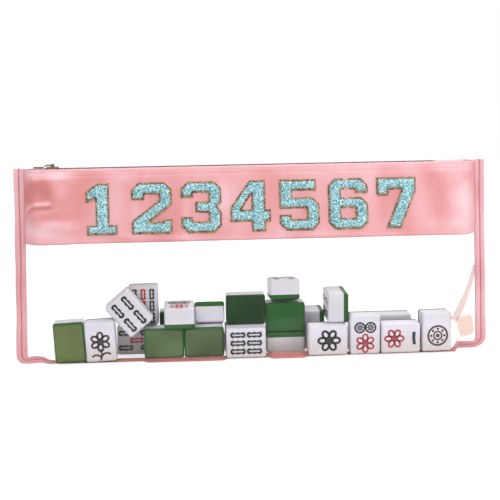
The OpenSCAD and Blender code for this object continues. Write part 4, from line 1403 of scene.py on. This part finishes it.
# Row, way, lowest left front corner, extra lean and figure of each tile, and which painted light its back takes:
# none, painted shade, painted sheet reflection
def tilePlaces():
    lean = math.radians(tileShape["lean"])
    floorZ, hemZ = 0.5, 2.2
    row1 = caseShape["frontY"] + 0.4
    row1Back = row1 + 7
    row2 = row1 + tileT + tileGap
    row2Back = row1Back + tileT + tileGap
    row3 = caseShape["backY"] - tileT - 3.2
    leanW = tileW * math.cos(lean) + tileL * math.sin(lean)
    leanIn = (leanW - tileW) / 2
    leanZ = hemZ + (tileW * math.sin(lean) + tileL * math.cos(lean) - tileL) / 2
    xA = -200.6
    xB = xA + (tileW + tileGap) / math.cos(lean)
    xC = xB + leanW + 26.8
    xD = xC + tileL + tileGap
    xE = xD + tileL + 2
    xE2 = xE + tileL + 2
    xE3 = xE2 + tileL + tileGap
    xF = xE + tileL + 42.4
    xG = xF + tileL + 2.6
    xH = xG + tileW + 1.2
    xI = xH + tileL + 2
    xEin = xE - tileGap - tileW
    onFront = hemZ + tileW + tileGap
    onMiddle = floorZ + tileW + tileGap
    onFlat = floorZ + tileT + tileGap
    places = []

    def put(row, way, at, figure="", paintedBack="", lean=(0, 0, 0)):
        places.append((row, way, at, lean, figure, paintedBack))

    leaning = (0, -tileShape["lean"], 0)
    put("front_row", "portraitBack", (xA + leanIn, row1, leanZ), "wheel", "sheetReflection", leaning)
    put("front_row", "portrait", (xB + leanIn, row1, leanZ), "brownBlossom", lean=leaning)
    put("front_row", "landscapeBack", (xC, row1Back, hemZ), "nineSticks", "sheetReflection")
    put("front_row", "landscapeBack", (xD, row1Back, hemZ), "wheel", "sheetReflection")
    put("front_row", "landscape", (xE, row1, hemZ), "sixSticks")
    put("front_row", "landscape", (xF, row1, hemZ), "darkBlossom")
    put("front_row", "portrait", (xG, row1, hemZ), "ringsOverRed")
    put("front_row", "landscape", (xH, row1, hemZ), "redWithBar")
    put("front_row", "portrait", (xI, row1 + 2, hemZ), "brownWheel", lean=(0, 0, 3))
    put("middle_row", "landscape", (xC - 28, row2Back + 3, floorZ), "fiveSticks")
    put("middle_row", "faceDown", (xEin, row2Back, floorZ), "wheel")
    put("middle_row", "landscape", (xE, row2, floorZ), "fourSticks")
    put("middle_row", "faceDownLong", (xE2, row2, floorZ), "wheel")
    put("middle_row", "sideways", (xE3, row2 + 12, floorZ), "wheel")
    put("rear_row", "portraitBack", (xC + tileW / 2, row3, floorZ), "wheel")
    put("rear_row", "landscape", (xH + 1, row3, floorZ))
    put("upper", "portrait", (xC - 15.5, row2Back + 3, onMiddle), "nineSticks")
    put("upper", "portrait", ((xB + leanW + xC - tileW) / 2 - 0.6, row1 + 6.3, hemZ + tileW - 3.2), "fourSticks",
        lean=(0, -tileShape["wedge"], 0))
    put("upper", "faceUp", (xEin - tileGap - tileW, row1 + 3, onFront), "ringsOverRed")
    put("upper", "faceDown", (xEin, row2 + 2, onFront - 4.2), "wheel", lean=(-tileShape["slopeDown"], 0, 0))
    put("upper", "landscapeBack", (xE + 1.4, row2, onMiddle), "wheel", "shade")
    put("upper", "landscapeBack", (xE2, row2, onFlat), "wheel")
    put("upper", "faceUp", (xE2 + 4.5, row2 + 2, onFlat + tileW + tileGap + 0.2), "fiveSticks",
        lean=(-tileShape["slopeUp"], 0, 0))
    put("upper", "sidewaysFlat", (xG - tileGap - tileT, row1 + 9, onFront), "fourSticks")
    return places


# Figures are drawn on a face 30 wide and 39.5 tall about its middle, as
# (outline, ink, rise): traditional sticks, rings and blossoms.

def turned(points, angle, at):
    c, s = math.cos(angle), math.sin(angle)
    return [(at[0] + x * c - y * s, at[1] + x * s + y * c) for x, y in points]


# A line of even width as quads
def stroke(points, width, closed=False):
    sides, n = [], len(points)
    for k in range(n):
        before = points[(k - 1) % n] if closed or k else points[k]
        after = points[(k + 1) % n] if closed or k < n - 1 else points[k]
        dx, dy = after[0] - before[0], after[1] - before[1]
        long = math.hypot(dx, dy) or 1
        px, py = -dy / long * width / 2, dx / long * width / 2
        sides.append(((points[k][0] + px, points[k][1] + py), (points[k][0] - px, points[k][1] - py)))
    ends = zip(sides, sides[1:] + sides[:1] if closed else sides[1:])
    return [[a[1], b[1], b[0], a[0]] for a, b in ends]


def circle(cx, cy, r, n=28):
    return [(cx + r * math.cos(2 * math.pi * k / n), cy + r * math.sin(2 * math.pi * k / n)) for k in range(n)]


# A bamboo stick: an inked outline with three lobes and a pale core
def stick(cx, cy, ink, long=11.6, wide=5.0, angle=0.0):
    edge = []
    for k in range(41):
        s = -1 + 2 * k / 40
        lobes = 0.87 + 0.13 * math.cos(3 * math.pi * s)
        cap = math.sqrt(limited(1 - max(0, abs(s) - 0.82) ** 2 / 0.18 ** 2))
        edge.append((wide / 2 * lobes * cap, s * long / 2))
    outer = edge + [(-x, y) for x, y in edge[::-1][1:-1]]
    coreR, coreH = 0.125 * wide, 0.3 * long
    core = []
    for k in range(16):
        a = 2 * math.pi * k / 16
        core.append((coreR * math.cos(a), (coreH if math.sin(a) > 0 else -coreH) + coreR * math.sin(a)))
    return [(turned(outer, angle, (cx, cy)), ink, 0.05), (turned(core, angle, (cx, cy)), "core", 0.09)]


# Inked lines, each a list of points and a width
def strokes(lines, ink, closed=False):
    return [(quad, ink, 0.05) for points, width in lines for quad in stroke(points, width, closed)]


def dot(cx, cy, r, ink, n):
    return (circle(cx, cy, r, n), ink, 0.05)


def ringFigure(cx, cy, r, ink, width=1.3):
    return strokes([(circle(cx, cy, r), width)], ink, True)


def wheelFigure(cx, cy, r, ink, width=1.3):
    parts = ringFigure(cx, cy, r, ink, width) + ringFigure(cx, cy, r * 0.42, ink, width * 0.8)
    for k in range(8):
        a = 2 * math.pi * k / 8
        parts.append(dot(cx + 0.7 * r * math.cos(a), cy + 0.7 * r * math.sin(a), r * 0.13, ink, 12))
    return parts + [dot(cx, cy, r * 0.2, ink, 14)]


def blossomFigure(cx, cy, r, ink, petals=5, width=1.2):
    parts = []
    for k in range(petals):
        a = 2 * math.pi * k / petals + math.pi / 2
        loop = [(0.36 * r * x, 0.27 * r * y) for x, y in circle(0, 0, 1, 18)]
        loop = turned(loop, a, (cx + 0.62 * r * math.cos(a), cy + 0.62 * r * math.sin(a)))
        parts += strokes([(loop, width)], ink, True)
    return parts + [dot(cx, cy, r * 0.17, ink, 16)]


# A stem with two leaves, drawn below a blossom
def spray(cx, cy, ink, size=1.0):
    lines = [
        ([(0, 0), (0.4, -3), (0.2, -6.5), (-0.6, -9)], 1.4),
        ([(0.3, -5.5), (2.4, -3.6), (5.2, -3.2), (7.6, -4.4)], 1.6),
        ([(0.1, -6.5), (-2.2, -4.8), (-5.0, -4.6), (-7.2, -6.0)], 1.6),
    ]
    return strokes([([(cx + x * size, cy + y * size) for x, y in points], width * size)
                    for points, width in lines], ink)


# Sticks of one ink at each of these columns and rows
def sticks(columns, rows, long, wide, ink="slate"):
    return [part for x in columns for y in rows for part in stick(x, y, ink, long, wide)]


nineRows = (-12.2, 0, 12.2)
figures = {
    "": [],
    "nineSticks": sticks([-8.7], nineRows, 11.4, 5.6) + sticks([0], nineRows, 11.4, 5.6, "red")
    + sticks([8.7], nineRows, 11.4, 5.6),
    "sixSticks": sticks((-8.4, 0, 8.4), (-8.2, 8.2), 15.6, 6.2),
    "fiveSticks": sticks((-7.6, 7.6), (-11, 11), 15, 6.0) + stick(0, 0, "red", 14, 6.0),
    "fourSticks": sticks((-6.3, 6.3), (-9.2, 9.2), 16.4, 6.4),
    "brownBlossom": blossomFigure(0, 0.5, 9.6, "brown", 6, 2.1) + spray(0, -7.0, "brown", 1.25),
    "darkBlossom": blossomFigure(0, 1.0, 11.0, "slate", 6, 2.4) + ringFigure(0, 1.0, 3.8, "slate", 1.3),
    "ringsOverRed": wheelFigure(-5.4, 7.4, 5.0, "slate", 1.7) + wheelFigure(5.4, 7.4, 5.0, "slate", 1.7)
    + blossomFigure(0, -8.6, 9.4, "red", 6, 1.8),
    "redWithBar": blossomFigure(0, -6.6, 9.6, "red", 6, 1.9)
    + strokes([([(-6.5, 13.4), (-2, 13.0), (2, 13.2), (6.5, 13.8)], 3.2)], "slate"),
    "brownWheel": wheelFigure(0.5, -3.5, 9.8, "brown", 2.0),
    "wheel": wheelFigure(0, 0, 10.5, "slate", 1.8),
}
inkOf = {"slate": 1, "red": 2, "brown": 3, "core": 4}


# Where a green back lies against the clear sheet: a flat olive patch of painted sheet reflection on it
def olivePane():
    margin, corner = 1.5, 2.2
    halfX, halfZ = tileW / 2 - margin - corner, tileL / 2 - margin - corner
    outline = []
    for signX, signZ, start in ((1, 1, 0), (-1, 1, 90), (-1, -1, 180), (1, -1, 270)):
        for k in range(5):
            a = math.radians(start + 22.5 * k)
            outline.append((signX * halfX + corner * math.cos(a), signZ * halfZ + corner * math.sin(a)))
    return outline


# The green slab's painted light by its place in its materials: painted shade, and painted sheet reflection
backPaintedLight = {"shade": 2, "sheetReflectionLeft": 1, "sheetReflection": 3}


# One tile's face block and back slab, with its inlays, added to the parts of its row
def addTile(rows, block, row, way, at, lean, figure, paintedBack):
    points, faces = block
    turn, size = ways[way]
    middle = Vector(at) + Vector(size) / 2
    matrix = (Matrix.Translation(middle) @ Euler([math.radians(a) for a in lean]).to_matrix().to_4x4()
              @ Euler([math.radians(a) for a in turn]).to_matrix().to_4x4())
    spots = [(matrix @ p) * mm for p in points]

    def drawn(outline, y):
        return [(matrix @ Vector((x, y, z))) * mm for x, z in outline]

    for part, isBack in (("faces", False), ("backs", True)):
        mine = [face for face in faces if (sum(points[k][1] for k in face) / len(face) > seamAt) == isBack]
        used = sorted({k for face in mine for k in face})
        renumber = {k: i for i, k in enumerate(used)}
        # painted shade: the whole back slab of a shaded tile takes the darker green
        mark = backPaintedLight["shade"] if isBack and paintedBack == "shade" else 0
        rim = [k for k in used if abs(points[k][1] - seamAt) < 1e-3]
        rim.sort(key=lambda k: math.atan2(points[k][2], points[k][0]))
        parts = rows.setdefault((row, part), [])
        parts.append(([spots[k] for k in used], [tuple(renumber[k] for k in face) for face in mine], mark))
        parts.append(([spots[k] for k in rim], [tuple(range(len(rim)))], 0))
    for outline, ink, rise in figures[figure]:
        n = len(outline)
        walls = [(k, (k + 1) % n, n + (k + 1) % n, n + k) for k in range(n)]
        solid = drawn(outline, -tileT / 2 - rise) + drawn(outline, -tileT / 2 + 0.2)
        rows[(row, "faces")].append((solid, [tuple(range(n))] + walls, inkOf[ink]))
    # painted sheet reflection on a back that lies against the clear sheet
    if paintedBack == "sheetReflection":
        pane = drawn(olivePane(), tileT / 2 + 0.04)
        mark = backPaintedLight["sheetReflectionLeft" if middle[0] < -150 else "sheetReflection"]
        rows[(row, "backs")].append((pane, [tuple(range(len(pane)))[::-1]], mark))


def buildTiles():
    finishes = {"faces": (tileWhite, inkSlate, inkRed, inkBrown, stickCore),
                "backs": (tileGreen, tileOlive, tileForest, tileMoss)}
    block = roundedBlock(tileW, tileT, tileL, tileShape["edge"], 4, (), (seamAt,), ())
    rows = {}
    for tile in tilePlaces():
        addTile(rows, block, *tile)
    for (row, part), parts in rows.items():
        made = joinedMesh(f"{row}Tile{part.capitalize()}".replace("_row", "Row"), parts, *finishes[part])
        work = bmesh.new()
        work.from_mesh(made.data)
        bmesh.ops.remove_doubles(work, verts=work.verts, dist=1e-6)
        work.to_mesh(made.data)
        work.free()
        made.data.set_sharp_from_angle(angle=math.radians(40))
        place(made, "case", f"tile_{part[:-1]}", f"{row}_tile_{part}")


# tileGreen is the backs' own colour; the paler greens are painted reflection of the clear sheet, the darker one
# painted shade
tileGreen = plainMaterial("tileGreen", (0.016, 0.105, 0.015), 0.5, grain=0.2, grainScale=30, specular=0.25)
tileOlive = plainMaterial("tileOlive", (0.122, 0.165, 0.045), 0.5, grain=0.3, grainScale=22, specular=0.25)
tileMoss = plainMaterial("tileMoss", (0.10, 0.165, 0.056), 0.5, grain=0.5, grainScale=26, specular=0.25)
tileForest = plainMaterial("tileForest", (0.008, 0.054, 0.010), 0.5, grain=0.5, grainScale=14, specular=0.25)
buildTiles()
print("tiles ready")

# floor, light and camera

studio = {
    "backdrop": 1.0,       # what the camera sees behind the case
    "roomLight": 0.48,
    "topPower": 9.0,
    "keyPower": 16.5,
    "fillPower": 9.0,
    "backPower": 9.0,
    "floor": (0.93, 0.93, 0.935),
    "floorGlow": 1.16,
    "paleness": 0.78,      # a bright sweep, with only a trace of shadow
    "floorSize": 6.0,      # metres each way
    "floorZ": -0.0006,
}


def buildStudio():
    size, z = studio["floorSize"], studio["floorZ"]
    corners = [(-size, -size, z), (size, -size, z), (size, size, z), (-size, size, z)]
    floor = meshObject("studioFloor", corners, [(0, 1, 2, 3)])
    material, wires = newMaterial("paleFloor")
    matt = wires.add("ShaderNodeBsdfDiffuse")
    matt.inputs["Color"].default_value = (*studio["floor"], 1)
    glow = wires.add("ShaderNodeEmission")
    glow.inputs["Strength"].default_value = studio["floorGlow"]
    seen = wires.add("ShaderNodeLightPath").outputs["Is Camera Ray"]
    share = wires.sum("MULTIPLY", seen, studio["paleness"])
    wires.ended(wires.mixed(share, matt.outputs["BSDF"], glow.outputs["Emission"]))
    dress(floor, material)
    world = bpy.data.worlds.new("softRoom")
    bpy.context.scene.world = world
    world.use_nodes = True
    back = world.node_tree.nodes["Background"]
    back.inputs["Color"].default_value = (1, 1, 1, 1)
    wires = Wiring(world.node_tree)
    seen = wires.add("ShaderNodeLightPath").outputs["Is Camera Ray"]
    extra = wires.sum("MULTIPLY", seen, studio["backdrop"] - studio["roomLight"])
    wires.link(wires.sum("ADD", extra, studio["roomLight"]), back.inputs["Strength"])

    def areaLight(name, at, aim, power, wide, tall):
        lamp = bpy.data.lights.new(name, "AREA")
        lamp.shape = "RECTANGLE"
        lamp.size, lamp.size_y, lamp.energy = wide, tall, power
        made = added(name, lamp)
        made.location = at
        made.rotation_euler = (Vector(aim) - Vector(at)).to_track_quat("-Z", "Y").to_euler()

    areaLight("keyPanel", (-0.85, -1.05, 1.7), (0, 0, 0.1), studio["keyPower"], 0.9, 0.9)
    areaLight("fillPanel", (1.1, -0.8, 0.7), (0, 0, 0.1), studio["fillPower"], 0.8, 0.8)
    areaLight("backPanel", (0.35, 1.3, 1.1), (0, 0, 0.1), studio["backPower"], 0.9, 0.9)
    areaLight("topPanel", (0.1, -0.15, 1.7), (0, 0, 0), studio["topPower"], 1.3, 1.0)
    bpy.context.scene.view_settings.view_transform = "Standard"


def buildCamera():
    view = bpy.data.cameras.new("photoView")
    view.sensor_width = 36
    view.lens = 79.2
    view.clip_start = 0.05
    camera = added("photoView", view)
    yaw, down, roll = (math.radians(a) for a in (3.538, 9.935, -0.871))
    ahead = Vector((math.sin(yaw), math.cos(yaw), 0))
    right = Vector((math.cos(yaw), -math.sin(yaw), 0))
    up = Vector((0, 0, 1))
    look = ahead * math.cos(down) - up * math.sin(down)
    tall = up * math.cos(down) + ahead * math.sin(down)
    across = right * math.cos(roll) + tall * math.sin(roll)
    tall = tall * math.cos(roll) - right * math.sin(roll)
    turn = Matrix((across, tall, -look)).transposed()
    camera.matrix_world = Matrix.Translation((-0.0708, -1.0918, 0.2967)) @ turn.to_4x4()
    bpy.context.scene.camera = camera


buildStudio()
buildCamera()
